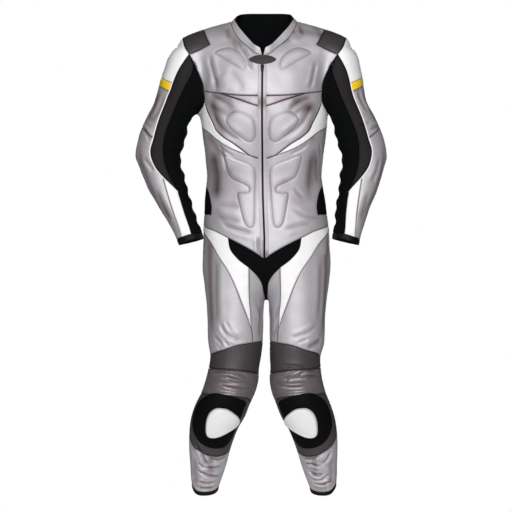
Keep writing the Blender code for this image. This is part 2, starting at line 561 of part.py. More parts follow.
# name: map, finish, pads, and the outline as seams from place to place
PIECES = {
    "front_yoke": ("trunk", "silver_leather", [CHEST_PAD], [
        ("zip_edge", "chest_zip", "neck_front"), ("neckline", "neck_front", "neck_side"),
        ("shoulder", "neck_side", "shoulder"), ("patch_neck", "shoulder", "patch_in"),
        ("patch_front", "patch_in", "patch_out"), ("armhole", "patch_out", "chest_arm"),
        ("chest", "chest_arm", "chest_tip"), ("chest_high", "chest_tip", "chest_zip")]),
    "chest_inset": ("trunk", "silver_leather", [], [
        ("chest_high", "chest_tip", "chest_zip"), ("zip_edge", "chest_zip", "inset_zip"),
        ("chest_low", "inset_zip", "chest_tip")]),
    "rib_panel": ("trunk", "silver_leather", [RIB_PAD], [
        ("zip_edge", "rib_zip", "inset_zip"), ("chest_low", "inset_zip", "chest_tip"),
        ("chest", "chest_tip", "chest_arm"), ("armhole", "chest_arm", "flash_arm"),
        ("flash_high", "flash_arm", "flash_tip"), ("rib", "flash_tip", "rib_zip")]),
    "side_flash": ("trunk", "white_leather", [], [
        ("flash_high", "flash_tip", "flash_arm"), ("armhole", "flash_arm", "armpit"),
        ("side_high", "armpit", "flash_side"), ("flash_low", "flash_side", "flash_tip")]),
    "belly_panel": ("trunk", "silver_leather", [BELLY_PAD], [
        ("zip_edge", "hip_zip", "rib_zip"), ("rib", "rib_zip", "flash_tip"),
        ("flash_low", "flash_tip", "flash_side"), ("side_high", "flash_side", "inset_top"),
        ("inset_front", "inset_top", "inset_front"), ("inset_foot", "inset_front", "inset_side"),
        ("side_low", "inset_side", "hip_side"), ("hip", "hip_side", "hip_zip")]),
    "side_stretch": ("trunk", "black_stretch", [], [
        ("inset_front", "inset_top", "inset_front"), ("inset_foot", "inset_front", "inset_rear"),
        ("inset_rear", "inset_rear", "inset_top")]),
    "shoulder_patch": ("trunk", "grey_leather", [], [
        ("patch_neck", "patch_rear_in", "patch_in"), ("patch_front", "patch_in", "patch_out"),
        ("patch_arm", "patch_out", "patch_rear_out"), ("patch_back", "patch_rear_out", "patch_rear_in")]),
    "sleeve_cap": ("arm", "white_leather", [], [
        ("patch_arm", "patch_rear_out", "patch_out"), ("piped", "patch_out", "band_front"),
        ("band_top", "band_front", "band_rear"), ("sleeve_rear", "band_rear", "sleeve_rear"),
        ("armhole", "sleeve_rear", "patch_rear_out")]),
    "sleeve_band": ("arm", "yellow_leather", [], [
        ("band_top", "band_rear", "band_front"), ("piped", "band_front", "band_low"),
        ("band_foot", "band_low", "band_low_rear"), ("sleeve_rear", "band_low_rear", "band_rear")]),
    "upper_sleeve": ("arm", "silver_leather", [], [
        ("band_foot", "band_low_rear", "band_low"), ("piped", "band_low", "elbow_front"),
        ("elbow", "elbow_front", "elbow_rear"), ("sleeve_rear", "elbow_rear", "band_low_rear")]),
    "forearm": ("arm", "silver_leather", [], [
        ("elbow", "elbow_rear", "elbow_front"), ("piped", "elbow_front", "white_tip"),
        ("white_out", "white_tip", "cuff_outer"), ("cuff_over", "cuff_outer", "cuff_rear"),
        ("sleeve_rear", "cuff_rear", "elbow_rear")]),
    "forearm_flash": ("arm", "white_leather", [], [
        ("piped", "white_tip", "strip_end"), ("white_in", "strip_end", "cuff_inner"),
        ("cuff_white", "cuff_inner", "cuff_outer"), ("white_out", "cuff_outer", "white_tip")]),
    "sleeve_strip": ("arm", "grey_leather", [], [
        ("piped", "strip_end", "patch_out"), ("strip", "patch_out", "strip_end")]),
    "sleeve_stretch": ("arm", "black_stretch", [], [
        ("strip", "strip_end", "patch_out"), ("armhole", "patch_out", "sleeve_rear"),
        ("sleeve_rear", "sleeve_rear", "cuff_rear"), ("cuff_under", "cuff_rear", "cuff_inner"),
        ("white_in", "cuff_inner", "strip_end")]),
    "thigh_flash": ("leg", "white_leather", [], [
        ("hip", "hip_vee", "hip_side"), ("thigh_high", "hip_side", "thigh_tip"),
        ("thigh_low", "thigh_tip", "gusset_turn"), ("gusset", "gusset_turn", "hip_vee")]),
    "thigh_front": ("leg", "silver_leather", [], [
        ("hip", "hip_side", "hip_rear"), ("leg_outer", "hip_rear", "knee_outer"),
        ("knee_top", "knee_outer", "knee_in"), ("thigh_high", "knee_in", "hip_side")]),
    "thigh_back": ("leg", "silver_leather", [], [
        ("seat", "crotch", "hip_rear"), ("leg_outer", "hip_rear", "knee_outer"),
        ("knee_rear", "knee_outer", "knee_inner"), ("knee_top", "knee_inner", "knee_in"),
        ("thigh_high", "knee_in", "thigh_tip"), ("thigh_low", "thigh_tip", "gusset_turn"),
        ("gusset", "gusset_turn", "crotch")]),
    "knee_top": ("leg", "grey_leather", [], [
        ("knee_top", "knee_outer", "knee_inner"), ("leg_inner", "knee_inner", "stretch_inner"),
        ("stretch_top", "stretch_inner", "stretch_outer"), ("leg_outer", "stretch_outer", "knee_outer")]),
    "knee_stretch": ("leg", "grey_leather", [], [
        ("stretch_top", "stretch_outer", "stretch_inner"), ("leg_inner", "stretch_inner", "guard_inner"),
        ("guard_top", "guard_inner", "guard_outer"), ("leg_outer", "guard_outer", "stretch_outer")]),
    "knee_surround": ("leg", "grey_leather", [], [
        ("guard_top", "guard_outer", "guard_inner"), ("leg_inner", "guard_inner", "shin_inner"),
        ("shin_top", "shin_inner", "shin_outer"), ("leg_outer", "shin_outer", "guard_outer")]),
    "shin": ("leg", "silver_leather", [], [
        ("shin_top", "shin_outer", "shin_inner"), ("leg_inner", "shin_inner", "hem_inner"),
        ("hem_front", "hem_inner", "hem_outer"), ("leg_outer", "hem_outer", "shin_outer")]),
    "calf": ("leg", "silver_leather", [], [
        ("knee_rear", "knee_inner", "knee_outer"), ("leg_outer", "knee_outer", "hem_outer"),
        ("hem_rear", "hem_outer", "hem_inner"), ("leg_inner", "hem_inner", "knee_inner")]),
}


def loop_of(sides):
    """A closed outline from (seam, start, end) rows in order."""
    return np.concatenate([chain(*side)[:-1] for side in sides])


for name, (chart, finish, pads, sides) in PIECES.items():
    add_pair(name, *cloth_mesh(loop_of(sides), chart, FINER.get(name, CLOTH_STEP), pads), finish)

# Pieces that cross the centre: the half outline, from the centre above to the centre below.
CENTRE_PIECES = {
    "back_panel": ("trunk", "silver_leather", [
        ("neckline", "neck_back", "neck_side"), ("shoulder", "neck_side", "shoulder"),
        ("patch_neck", "shoulder", "patch_rear_in"), ("patch_back", "patch_rear_in", "patch_rear_out"),
        ("armhole", "patch_rear_out", "armpit"), ("side_high", "armpit", "inset_top"),
        ("inset_rear", "inset_top", "inset_rear"), ("inset_foot", "inset_rear", "inset_side"),
        ("side_low", "inset_side", "hip_side"), ("hip", "hip_side", "hip_back")]),
    "seat_panel": ("saddle", "silver_leather", [
        ("hip", "hip_back", "hip_rear"), ("seat", "hip_rear", "crotch"),
        ("crotch", "crotch", "crotch_mid")]),
    "crotch_gusset": ("saddle", "black_stretch", [
        ("hip", "hip_zip", "hip_vee"), ("gusset", "hip_vee", "crotch"),
        ("crotch", "crotch", "crotch_mid")]),
}


def both_halves(sides):
    half = np.concatenate([chain(*side)[:-1] for side in sides] + [chain(*sides[-1])[-1:]])
    first = 1 if abs(half[0, 0]) < 1e-6 else 0
    return np.concatenate([half, (half * (-1, 1, 1))[first:-1][::-1]])


for name, (chart, finish, sides) in CENTRE_PIECES.items():
    add_object(name, *cloth_mesh(both_halves(sides), chart, CLOTH_STEP), finish)

# ---- collar, cuffs and hems -------------------------------------------------------------


def swept(sections, closed):
    """A tube through like sections, capped at both ends unless it closes on itself."""
    sections = np.array(sections)
    rows, size, _ = sections.shape
    faces = []
    for i in range(rows if closed else rows - 1):
        for k in range(size):
            a, b = i * size + k, i * size + (k + 1) % size
            c, d = ((i + 1) % rows) * size + (k + 1) % size, ((i + 1) % rows) * size + k
            faces += [[a, b, c], [a, c, d]]
    if not closed:
        faces += [list(range(size))[::-1], [(rows - 1) * size + k for k in range(size)]]
    points = sections.reshape(-1, 3)
    a, b, c = (points[[face[k] for face in faces if len(face) == 3]] for k in range(3))
    outward = (a * np.cross(b, c)).sum() > 0
    return points, faces if outward else [face[::-1] for face in faces]


def edge_band(loop, limb, width):
    """A bound edge below a seam round a limb, with four corners a station."""
    flat = flatten(limb, loop)
    rows = []
    for drop in (SEAM_GAP, width):
        on = from_round(limb, np.stack([flat[:, 0] / SPREAD[limb], flat[:, 1] - drop], axis=1))
        rows.append((on, normal(on)))
    (top, top_n), (low, low_n) = rows
    return swept(np.stack([top, top - WALL * top_n, low - WALL * low_n, low], axis=1), True)


HEM_WIDTH, CUFF_WIDTH = 11.0, 17.0
hem = loop_of([("hem_front", "hem_outer", "hem_inner"), ("hem_rear", "hem_inner", "hem_outer")])
add_pair("hem", *edge_band(hem, "leg", HEM_WIDTH), "black_leather")
cuff = loop_of([("cuff_white", "cuff_outer", "cuff_inner"), ("cuff_under", "cuff_inner", "cuff_rear"),
                ("cuff_over", "cuff_rear", "cuff_outer")])
add_pair("cuff", *edge_band(cuff, "arm", CUFF_WIDTH), "black_leather")

# How the collar rises from the neckline: share of the way from the front, then across, back and up.
COLLAR_RISE = np.array([
    (0, 6, 0, 22), (0.12, -4, 2, 22), (0.27, -9, 4, 28), (0.4, -11, 3, 25), (0.57, -12, -2, 14),
    (0.66, -12, -5, 22), (0.75, -9, -7, 31), (0.87, -4, -7, 33), (1, 0, -7, 33),
])
LINING = 1.7
BINDING = 2.2


def collar_stations():
    """Stations round the neckline, with the way up the collar and the way out of it."""
    half = chain("neckline", "neck_front", "neck_back")
    run = np.concatenate([[0], np.cumsum(np.linalg.norm(np.diff(half, axis=0), axis=1))])
    share = run / run[-1]
    rise = np.stack([np.interp(share, COLLAR_RISE[:, 0], COLLAR_RISE[:, k]) for k in (1, 2, 3)], axis=1)
    base = np.concatenate([half, (half * (-1, 1, 1))[-2::-1]])
    rise = np.concatenate([rise, (rise * (-1, 1, 1))[-2::-1]])
    out = np.cross(np.gradient(base, axis=0), rise)
    out *= np.sign((out * (base - base.mean(axis=0))).sum(axis=1))[:, None]
    return base, rise, out / np.linalg.norm(out, axis=1, keepdims=True)


def collar_strip(profile):
    """A strip round the neckline. Its profile's rows are share of the rise, millimetres more, and out."""
    base, rise, out = collar_stations()
    unit = rise / np.linalg.norm(rise, axis=1, keepdims=True)
    corners = [base + s * rise + more * unit + away * out for s, more, away in profile]
    return swept(np.stack(corners, axis=1), False)


# The lining's profile runs the other way round than the collar's, so that the faces between match.
inside = -WALL - 1.4 * SEAM_GAP
add_object("collar", *collar_strip([
    (0, SEAM_GAP / 2, 0), (0, SEAM_GAP / 2, -WALL), (0.5, 0, 1 - WALL), (1, 0, -WALL), (1, 0, 0), (0.5, 0, 1)]),
    "silver_leather")
add_object("collar_lining", *collar_strip([
    (0, 1.0, inside - LINING), (0, 1.0, inside), (0.5, 0, inside + 1), (1, SEAM_GAP, inside), (1, SEAM_GAP, 0.4),
    (1, BINDING, 0.4), (1, BINDING, inside - LINING), (0.5, 0, inside - LINING + 1)]), "black_stretch")

# ---- zip, the tab over its top, and the pull ----------------------------------------------

ZIP_HALF, ZIP_FACE, ZIP_BACK = 2.7, -0.5, -2.5
SLIDER_HALF, SLIDER_FOOT, SLIDER_FACE = 5.5, 0.6, 3.6
SLIDER_TOP, SLIDER_END = -127.5, -142.0


def zip_row(up, half, foot, face):
    """One level of the zip: the tape between the fronts, and what stands on it."""
    on = find_place(("front", 0, up))
    out = normal(on[None])[0]
    profile = [(-ZIP_HALF, ZIP_BACK), (ZIP_HALF, ZIP_BACK), (ZIP_HALF, foot), (half, foot), (half, face),
               (-half, face), (-half, foot), (-ZIP_HALF, foot)]
    return [np.array([x, 0, 0]) + on + away * out for x, away in profile]


slim = ZIP_HALF - 0.4
flush = (slim, ZIP_FACE - 0.4, ZIP_FACE)
raised, neck = (SLIDER_HALF, SLIDER_FOOT, SLIDER_FACE), (slim, SLIDER_FOOT, SLIDER_FOOT + 0.4)
tape = [(p[2], *flush) for p in chain("zip_edge", "neck_front", "hip_zip")
        if not SLIDER_END - 4 < p[2] < SLIDER_TOP + 4]
slider = [(SLIDER_TOP + 1.4, *flush), (SLIDER_TOP + 0.7, *neck), (SLIDER_TOP, *raised),
          (SLIDER_END, *raised), (SLIDER_END - 0.7, *neck), (SLIDER_END - 1.4, *flush)]
rows = sorted(tape + slider, reverse=True)
rows[0] = (rows[0][0] - 1, *rows[0][1:])
rows[-1] = (rows[-1][0] + 1, *rows[-1][1:])
add_object("zip", *swept([zip_row(*row) for row in rows], False), "black_metal")

TAB_HALF, TAB_TALL, TAB_UP, TAB_OFF, TAB_THICK = 41.0, 14.0, -111.0, 0.6, 3.0
turns = np.linspace(0, 2 * np.pi, 28, endpoint=False)
tall = TAB_TALL * np.sin(turns) * np.abs(np.sin(turns)) ** 0.35  # an oval, a little pointed at its sides
oval = np.stack([TAB_HALF * np.cos(turns), TAB_UP + tall], axis=1)
add_object("neck_tab", *cloth_mesh(on_front(oval), "trunk", 11.0, inner_at=TAB_OFF,
                                   outer_at=TAB_OFF + TAB_THICK, gap=False), "grey_leather")

PULL_HALF, PULL_LONG, PULL_THICK, PULL_UP = 4.0, 19.0, 1.6, -129.0
on, below = (find_place(("front", 0, up)) for up in (PULL_UP, PULL_UP - PULL_LONG))
down = (below - on) / np.linalg.norm(below - on)
out = np.cross(down, (1.0, 0, 0))
hinge = on + out * (SLIDER_FACE + 0.6 + PULL_THICK / 2)
half = PULL_THICK / 2
pull = [[hinge + down * along_it + np.array([x * wide, 0, 0]) + out * away
         for x, away in ((-1, -half), (1, -half), (1, half), (-1, half))]
        for along_it, wide in (
            (-0.7, 2.4), (4, 2.6), (9, PULL_HALF), (PULL_LONG - 2, PULL_HALF), (PULL_LONG, 2.4))]
add_object("zip_pull", *swept(pull, False), "black_metal")

# ---- knee sliders: a base on the knee, and the puck on it -----------------------------------

SLIDER_BASE = [(158, -1109), (134, -1105), (90, -1114), (52, -1129), (54, -1150), (68, -1192), (88, -1240),
               (106, -1262), (130, -1270), (162, -1266), (190, -1246), (206, -1208), (201, -1164), (184, -1128)]
SLIDER_PUCK = [(140, -1153), (120, -1151), (97, -1162), (71, -1178), (70, -1189), (86, -1206), (108, -1222),
               (138, -1236), (158, -1233), (167, -1218), (164, -1190), (155, -1164)]
BASE_OFF, BASE_THICK, PUCK_THICK = 0.8, 3.4, 14.0


def round_outline(outline, step):
    """A closed smooth curve through an outline's points, at even steps."""
    ring = np.array(outline[-1:] + outline + outline[:2], float)
    curve = spline(np.column_stack([ring, 0 * ring[:, 0]]))[24:-24]
    count = round(np.linalg.norm(np.diff(curve, axis=0), axis=1).sum() / step)
    return along(curve, count)[:-1, :2]


base, puck = on_front(round_outline(SLIDER_BASE, 15.0)), on_front(round_outline(SLIDER_PUCK, 13.0))
add_pair("slider_base", *cloth_mesh(base, "leg", 20.0, inner_at=BASE_OFF, outer_at=BASE_OFF + BASE_THICK,
                                    gap=False), "black_plastic")
puck_at = BASE_OFF + BASE_THICK + 0.95
add_pair("knee_slider", *cloth_mesh(puck, "leg", 20.0, inner_at=puck_at, outer_at=puck_at + PUCK_THICK,
                                    gap=False), "white_plastic")
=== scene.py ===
import bmesh
import bpy
import numpy as np
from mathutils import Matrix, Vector
from mathutils.geometry import delaunay_2d_cdt


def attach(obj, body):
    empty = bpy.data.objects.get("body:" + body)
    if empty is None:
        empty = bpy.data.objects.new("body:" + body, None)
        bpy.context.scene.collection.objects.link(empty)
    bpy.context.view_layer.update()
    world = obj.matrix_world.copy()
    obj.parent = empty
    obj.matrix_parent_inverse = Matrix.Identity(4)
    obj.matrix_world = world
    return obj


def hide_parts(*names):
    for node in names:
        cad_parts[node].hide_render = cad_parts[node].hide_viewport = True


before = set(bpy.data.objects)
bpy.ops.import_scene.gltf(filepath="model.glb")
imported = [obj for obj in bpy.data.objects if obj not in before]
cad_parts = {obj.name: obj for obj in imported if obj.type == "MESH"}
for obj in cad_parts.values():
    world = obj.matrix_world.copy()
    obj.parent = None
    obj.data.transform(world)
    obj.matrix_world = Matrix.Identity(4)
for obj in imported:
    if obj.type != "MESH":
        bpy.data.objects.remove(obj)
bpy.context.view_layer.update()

# ---- room --------------------------------------------------------------------------------------
# A white studio with a pale floor below the hems. One broad soft light hangs in front and a
# little above, so that the fronts are bright and every side turns dark.
room = bpy.context.scene
room.view_settings.view_transform = "Standard"
room.view_settings.look = "None"


def aimed(obj, place, at):
    """Puts an object at a place and turns its -Z towards a point."""
    room.collection.objects.link(obj)
    obj.location = place
    obj.rotation_euler = (Vector(at) - Vector(place)).to_track_quat("-Z", "Y").to_euler()
    return obj


def soft_light(name, place, at, wide, tall, watts):
    """A broad white lamp turned towards a point."""
    lamp = bpy.data.lights.new(name, "AREA")
    lamp.shape, lamp.size, lamp.size_y, lamp.energy = "RECTANGLE", wide, tall, watts
    aimed(bpy.data.objects.new(name, lamp), place, at)


CENTRE = (-0.0255, 0.0, -0.696)
AWAY, SHOWN, FILM = 14, 1.536, 36  # metres to the camera, metres it shows across, millimetres of its film
lens = bpy.data.cameras.new("camera")
lens.lens, lens.sensor_width, lens.clip_end = FILM * AWAY / SHOWN, FILM, 100
lens.dof.use_dof = False
camera = aimed(bpy.data.objects.new("camera", lens), (CENTRE[0], -AWAY, CENTRE[2]), CENTRE)
room.camera = camera

soft_light("key", (0, -5, 0.9), (0, 0, -0.5), 3.0, 2.2, 265)
soft_light("behind", (0, 5, 0.3), (0, 0, -0.7), 3.0, 2.2, 160)

world = bpy.data.worlds.new("studio")
room.world = world
world.use_nodes = True
sky = world.node_tree
plain = sky.nodes["Background"]
plain.inputs["Color"].default_value = (1, 1, 1, 1)
path = sky.nodes.new("ShaderNodeLightPath")
level = sky.nodes.new("ShaderNodeMapRange")
level.inputs["To Min"].default_value, level.inputs["To Max"].default_value = 0.08, 1.0
sky.links.new(path.outputs["Is Camera Ray"], level.inputs["Value"])
sky.links.new(level.outputs["Result"], plain.inputs["Strength"])

FLOOR_HALF, FLOOR_UP = 1.6, -1.62
corners = [(FLOOR_HALF * x, FLOOR_HALF * y, FLOOR_UP) for x, y in ((-1, -1), (1, -1), (1, 1), (-1, 1))]
floor = bpy.data.meshes.new("floor")
floor.from_pydata(corners, [], [(0, 1, 2, 3)])
floor = bpy.data.objects.new("floor", floor)
room.collection.objects.link(floor)
pale = bpy.data.materials.new("pale_floor")
pale.use_nodes = True
board = pale.node_tree.nodes["Principled BSDF"]
board.inputs["Base Color"].default_value, board.inputs["Roughness"].default_value = (0.9, 0.9, 0.9, 1), 0.7
floor.data.materials.append(pale)

# ---- front yoke --------------------------------------------------------------------------------
# The two chest yokes, of silver cowhide 1.2 to 1.4 mm thick with a fine pebbled grain and a pearly
# top coat. Each is cut out flat with a raised pad, and sewn to its neighbours along shared seams.
MM = 0.001


def group_of(name, sockets, output):
    """An empty node group with named inputs (name, kind, value) and outputs (name, kind)."""
    group = bpy.data.node_groups.new(name, "ShaderNodeTree")
    for title, kind, value in sockets:
        socket = group.interface.new_socket(title, in_out="INPUT", socket_type="NodeSocket" + kind)
        if kind == "Float":
            socket.default_value = value
        elif kind == "Color":
            socket.default_value = (*value, 1)
    for title, kind in output:
        group.interface.new_socket(title, in_out="OUTPUT", socket_type="NodeSocket" + kind)
    return group, group.nodes.new("NodeGroupInput"), group.nodes.new("NodeGroupOutput")


def node(tree, kind, inputs=(), **settings):
    """A node with its settings, and its inputs set to values or linked to sockets."""
    made = tree.nodes.new(kind)
    for key, value in settings.items():
        setattr(made, key, value)
    for key, value in dict(inputs).items():
        if hasattr(value, "links"):
            tree.links.new(value, made.inputs[key])
        else:
            made.inputs[key].default_value = value
    return made


def maths(tree, operation, *values):
    """The result of one step of arithmetic on values or sockets."""
    return node(tree, "ShaderNodeMath", dict(enumerate(values)), operation=operation).outputs[0]


# Grain: pebbles about `Size` mm across between fine creases, and a slower waviness under them.
grain, start, end = group_of("leather_grain", [("Size", "Float", 1.3), ("Depth", "Float", 1.0)],
                             [("Height", "Float"), ("Tone", "Float")])
at = node(grain, "ShaderNodeTexCoord").outputs["Object"]
scale = maths(grain, "DIVIDE", 1000.0, start.outputs["Size"])
pebble = node(grain, "ShaderNodeTexVoronoi", {"Vector": at, "Scale": scale}, feature="SMOOTH_F1")
slow = node(grain, "ShaderNodeTexNoise", {"Vector": at, "Scale": 60.0, "Detail": 3.0, "Roughness": 0.6})
dome = maths(grain, "SUBTRACT", 1.0, pebble.outputs["Distance"])
both = maths(grain, "MULTIPLY_ADD", slow.outputs["Fac"], 0.6, dome)
grain.links.new(maths(grain, "MULTIPLY", both, start.outputs["Depth"]), end.inputs["Height"])
grain.links.new(slow.outputs["Fac"], end.inputs["Tone"])

# Painted shade: how much of the colour is left where shade is painted along seams, in folds and pad grooves,
# and in broad strokes on the silver, read from a point attribute.
edge, start, end = group_of("painted_shade_darkening", [("Dark", "Float", 0.5)], [("Shade", "Float")])
near = node(edge, "ShaderNodeAttribute", attribute_name="painted_shade").outputs["Fac"]
lost = maths(edge, "MULTIPLY", near, start.outputs["Dark"])
edge.links.new(maths(edge, "SUBTRACT", 1.0, lost), end.inputs["Shade"])

# Tone: a colour made a little uneven by the grain's slow part, and darker and warmer where shade is painted
# (seams, folds, pad grooves, the silver's turned sides). The painted shade's warmth is a share of its own
# red, green and blue.
PAINTED_SHADE_WARMTH = (0.22, -0.03, -0.04)
toned, start, end = group_of("leather_tone", [("Colour", "Color", (1, 1, 1)), ("Tone", "Float", 0.5),
                                              ("Shade", "Float", 1.0), ("Uneven", "Float", 0.12)],
                             [("Colour", "Color")])


def vectors(tree, operation, **values):
    """A vector node's result, from its inputs `a`, `b` and `Scale`."""
    names = {"a": 0, "b": 1}
    return node(tree, "ShaderNodeVectorMath", {names.get(k, k): v for k, v in values.items()},
                operation=operation).outputs["Vector"]


swing = maths(toned, "SUBTRACT", start.outputs["Tone"], 0.5)
swing = maths(toned, "MULTIPLY", swing, start.outputs["Uneven"])
share = maths(toned, "MULTIPLY", maths(toned, "ADD", swing, 1.0), start.outputs["Shade"])
tinted = vectors(toned, "SCALE", a=start.outputs["Colour"], Scale=share)
gone = maths(toned, "SUBTRACT", 1.0, start.outputs["Shade"])
gone = maths(toned, "MULTIPLY", gone, start.outputs["Shade"])
shade_warmth = vectors(toned, "MULTIPLY", a=start.outputs["Colour"], b=PAINTED_SHADE_WARMTH)
shade_warmth = vectors(toned, "SCALE", a=shade_warmth, Scale=gone)
toned.links.new(vectors(toned, "ADD", a=tinted, b=shade_warmth), end.inputs["Colour"])

# Knit: ribs about `Pitch` mm apart along the piece, crossed by finer loops.
knit, start, end = group_of("stretch_knit", [("Pitch", "Float", 2.0)], [("Height", "Float")])
cloth = node(knit, "ShaderNodeUVMap", uv_map="cut").outputs["UV"]
parts = node(knit, "ShaderNodeSeparateXYZ", {"Vector": cloth})
turns = maths(knit, "DIVIDE", 6283.19, start.outputs["Pitch"])
wales = maths(knit, "SINE", maths(knit, "MULTIPLY", parts.outputs["X"], turns))
rows = maths(knit, "SINE", maths(knit, "MULTIPLY", parts.outputs["Y"], maths(knit, "MULTIPLY", turns, 1.4)))
ribs = maths(knit, "MULTIPLY", wales, 0.7)
knit.links.new(maths(knit, "MULTIPLY_ADD", rows, wales, ribs), end.inputs["Height"])

BUMP = 0.00025  # a unit of grain height in metres
UNEVEN = 0.14  # how far the tone swings with the grain's slow part


def covering(name, colour, roughness, metallic=0.0, size=1.3, depth=1.0, dark=0.6, specular=0.5, knitted=0.0):
    """A leather or stretch material: tone from grain and painted shade at seams, folds and pads on the
    colour, grain or knit as bump.
    """
    material = bpy.data.materials.new(name)
    material.use_nodes = True
    tree = material.node_tree
    shader = tree.nodes["Principled BSDF"]
    for key, value in (("Roughness", roughness), ("Metallic", metallic), ("Specular IOR Level", specular)):
        shader.inputs[key].default_value = value
    pebbles = node(tree, "ShaderNodeGroup", node_tree=grain)
    pebbles.inputs["Size"].default_value, pebbles.inputs["Depth"].default_value = size, depth
    line = node(tree, "ShaderNodeGroup", node_tree=edge)
    line.inputs["Dark"].default_value = dark
    tone = node(tree, "ShaderNodeGroup", node_tree=toned)
    tone.inputs["Colour"].default_value, tone.inputs["Uneven"].default_value = (*colour, 1), UNEVEN
    tree.links.new(pebbles.outputs["Tone"], tone.inputs["Tone"])
    tree.links.new(line.outputs["Shade"], tone.inputs["Shade"])
    tree.links.new(tone.outputs["Colour"], shader.inputs["Base Color"])
    height = pebbles.outputs["Height"]
    if knitted:
        ribs = node(tree, "ShaderNodeGroup", node_tree=knit)
        ribs.inputs["Pitch"].default_value = knitted
        height = ribs.outputs["Height"]
    relief = node(tree, "ShaderNodeBump", {"Height": height, "Strength": 1.0, "Distance": BUMP})
    tree.links.new(relief.outputs["Normal"], shader.inputs["Normal"])
    return material


SILVER = covering("silver_leather", (0.5, 0.485, 0.515), 0.55, 0.38, dark=0.95)
LINING = covering("black_lining", (0.004, 0.0042, 0.0048), 0.9, specular=0.02)


# The filled suit is one soft form, a distance from the sections of trunk, arms and legs. Every
# leather piece is cut out of it between seams. Sizes are in millimetres from here on.
SEAM_GAP = 0.3
SEAM_STEP = 5.0
TRUNK_COLUMNS = ("up", "half_width", "middle", "half_depth", "square")
TRUNK = [
    (60, 66, 12, 56, 2.0), (12, 86, 12, 60, 2.0), (-6, 150, 11, 63, 2.0), (-24, 208, 9, 68, 2.0),
    (-42, 243, 7, 75, 2.05), (-60, 250, 5, 82, 2.1), (-80, 236, 3, 91, 2.2), (-110, 208, 1, 102, 2.3),
    (-150, 192, 0, 113, 2.4), (-200, 187, -1, 121, 2.4), (-240, 189, -2, 124, 2.4),
    (-276, 191, -3, 123, 2.4), (-312, 187, -4, 119, 2.4), (-348, 183, -4, 114, 2.35),
    (-384, 178, -3, 109, 2.3), (-420, 174, -2, 104, 2.3), (-456, 171, 0, 102, 2.3),
    (-492, 175, 1, 103, 2.3), (-528, 180, 3, 107, 2.3), (-564, 183, 4, 111, 2.3),
    (-600, 187, 5, 114, 2.3), (-672, 190, 7, 118, 2.3), (-726, 192, 8, 118, 2.3),
    (-780, 188, 6, 114, 2.3), (-834, 182, 3, 108, 2.3),
]
ARM_COLUMNS = ("up", "inner", "outer", "middle", "half_depth")
ARM = [
    (-42, 180, 247, 5, 46), (-60, 176, 256, 5, 54), (-78, 170, 272, 5, 60), (-96, 165, 283, 5, 65),
    (-132, 160, 294, 6, 70), (-168, 162, 304, 6, 73), (-204, 170, 311, 6, 74), (-240, 186, 322, 5, 73),
    (-276, 206, 341, 4, 71), (-312, 217, 357, 2, 69), (-348, 225, 369, 0, 67), (-384, 236, 376, -3, 65),
    (-402, 240, 376, -5, 64), (-420, 240, 370, -8, 62), (-456, 231, 358, -16, 59),
    (-492, 225, 345, -25, 56), (-528, 217, 327, -35, 52), (-564, 208, 309, -45, 48),
    (-600, 201, 292, -55, 44), (-636, 193, 277, -64, 41), (-665, 188, 268, -71, 39),
]
LEG_COLUMNS = ("up", "inner", "outer", "middle", "half_depth")
LEG = [
    (-600, 5, 188, 5, 104), (-700, 5, 190, 3, 101), (-780, 8, 186, 1, 98), (-834, 9.5, 180, -2, 95),
    (-880, 10, 176, -6, 91), (-924, 10.5, 175, -10, 87), (-960, 11, 173, -14, 83), (-996, 13, 165, -19, 78),
    (-1032, 17, 168, -24, 75), (-1068, 17, 175, -28, 74), (-1104, 25, 186, -30, 75),
    (-1140, 40, 202, -29, 76), (-1176, 54, 214, -25, 75), (-1212, 75, 220, -18, 72),
    (-1248, 90, 222, -8, 67), (-1284, 102, 222, 2, 62), (-1320, 112, 220, 12, 57),
    (-1356, 124, 219, 22, 52), (-1392, 137, 216, 32, 48), (-1420, 142, 214, 39, 46),
]
LIMB_SQUARE = 2.15
SHOULDER_ROOF = -50.0  # where the sleeve head closes
ARM_BLEND = 26.0
HIP_TOP, HIP_END = -700.0, -838.0  # over this height the trunk parts into two legs
GROOVE = ((-1000, -840, -700), (0, 6, 12))  # how softly the halves meet at a height

# How the filled suit hangs: both sleeves sway one way, the hips the other, the chest turns a little.
SWAY = [(-1500, 0), (-665, -13), (-610, -8), (-570, -2), (-530, 2), (-470, 6), (-400, 10), (-220, 12),
        (-120, 5), (-40, 0)]
LEAN = [(-1500, -3), (-1150, -3), (-1050, 1), (-960, 6), (-640, 6), (-520, 1), (-450, 0), (100, 0)]
TURN = 0.06

# Gathers of the stretch and of the loose leather, as waves cut into the surface. They are rows of
# troughs `pitch` apart, fading out at the sides (degrees round the limb) and at both ends.
SPREAD = {"trunk": 150.0, "arm": 66.0, "leg": 82.0}  # millimetres to a radian round each limb
GATHER_COLUMNS = ("limb", "at", "half_turn", "top", "foot", "pitch", "slant", "depth")
GATHERS = [
    ("arm", 288, 52, -275, -612, 41.0, 0.0, 4.5), ("leg", 0, 88, -1046, -1112, 36.0, -0.07, 5.5),
    ("leg", 350, 70, -1300, -1378, 34.0, 0.2, 4.5), ("leg", 182, 60, -1030, -1150, 60.0, 0.0, 5.0),
]
FADE = 14.0  # a wave grows to its depth over this length


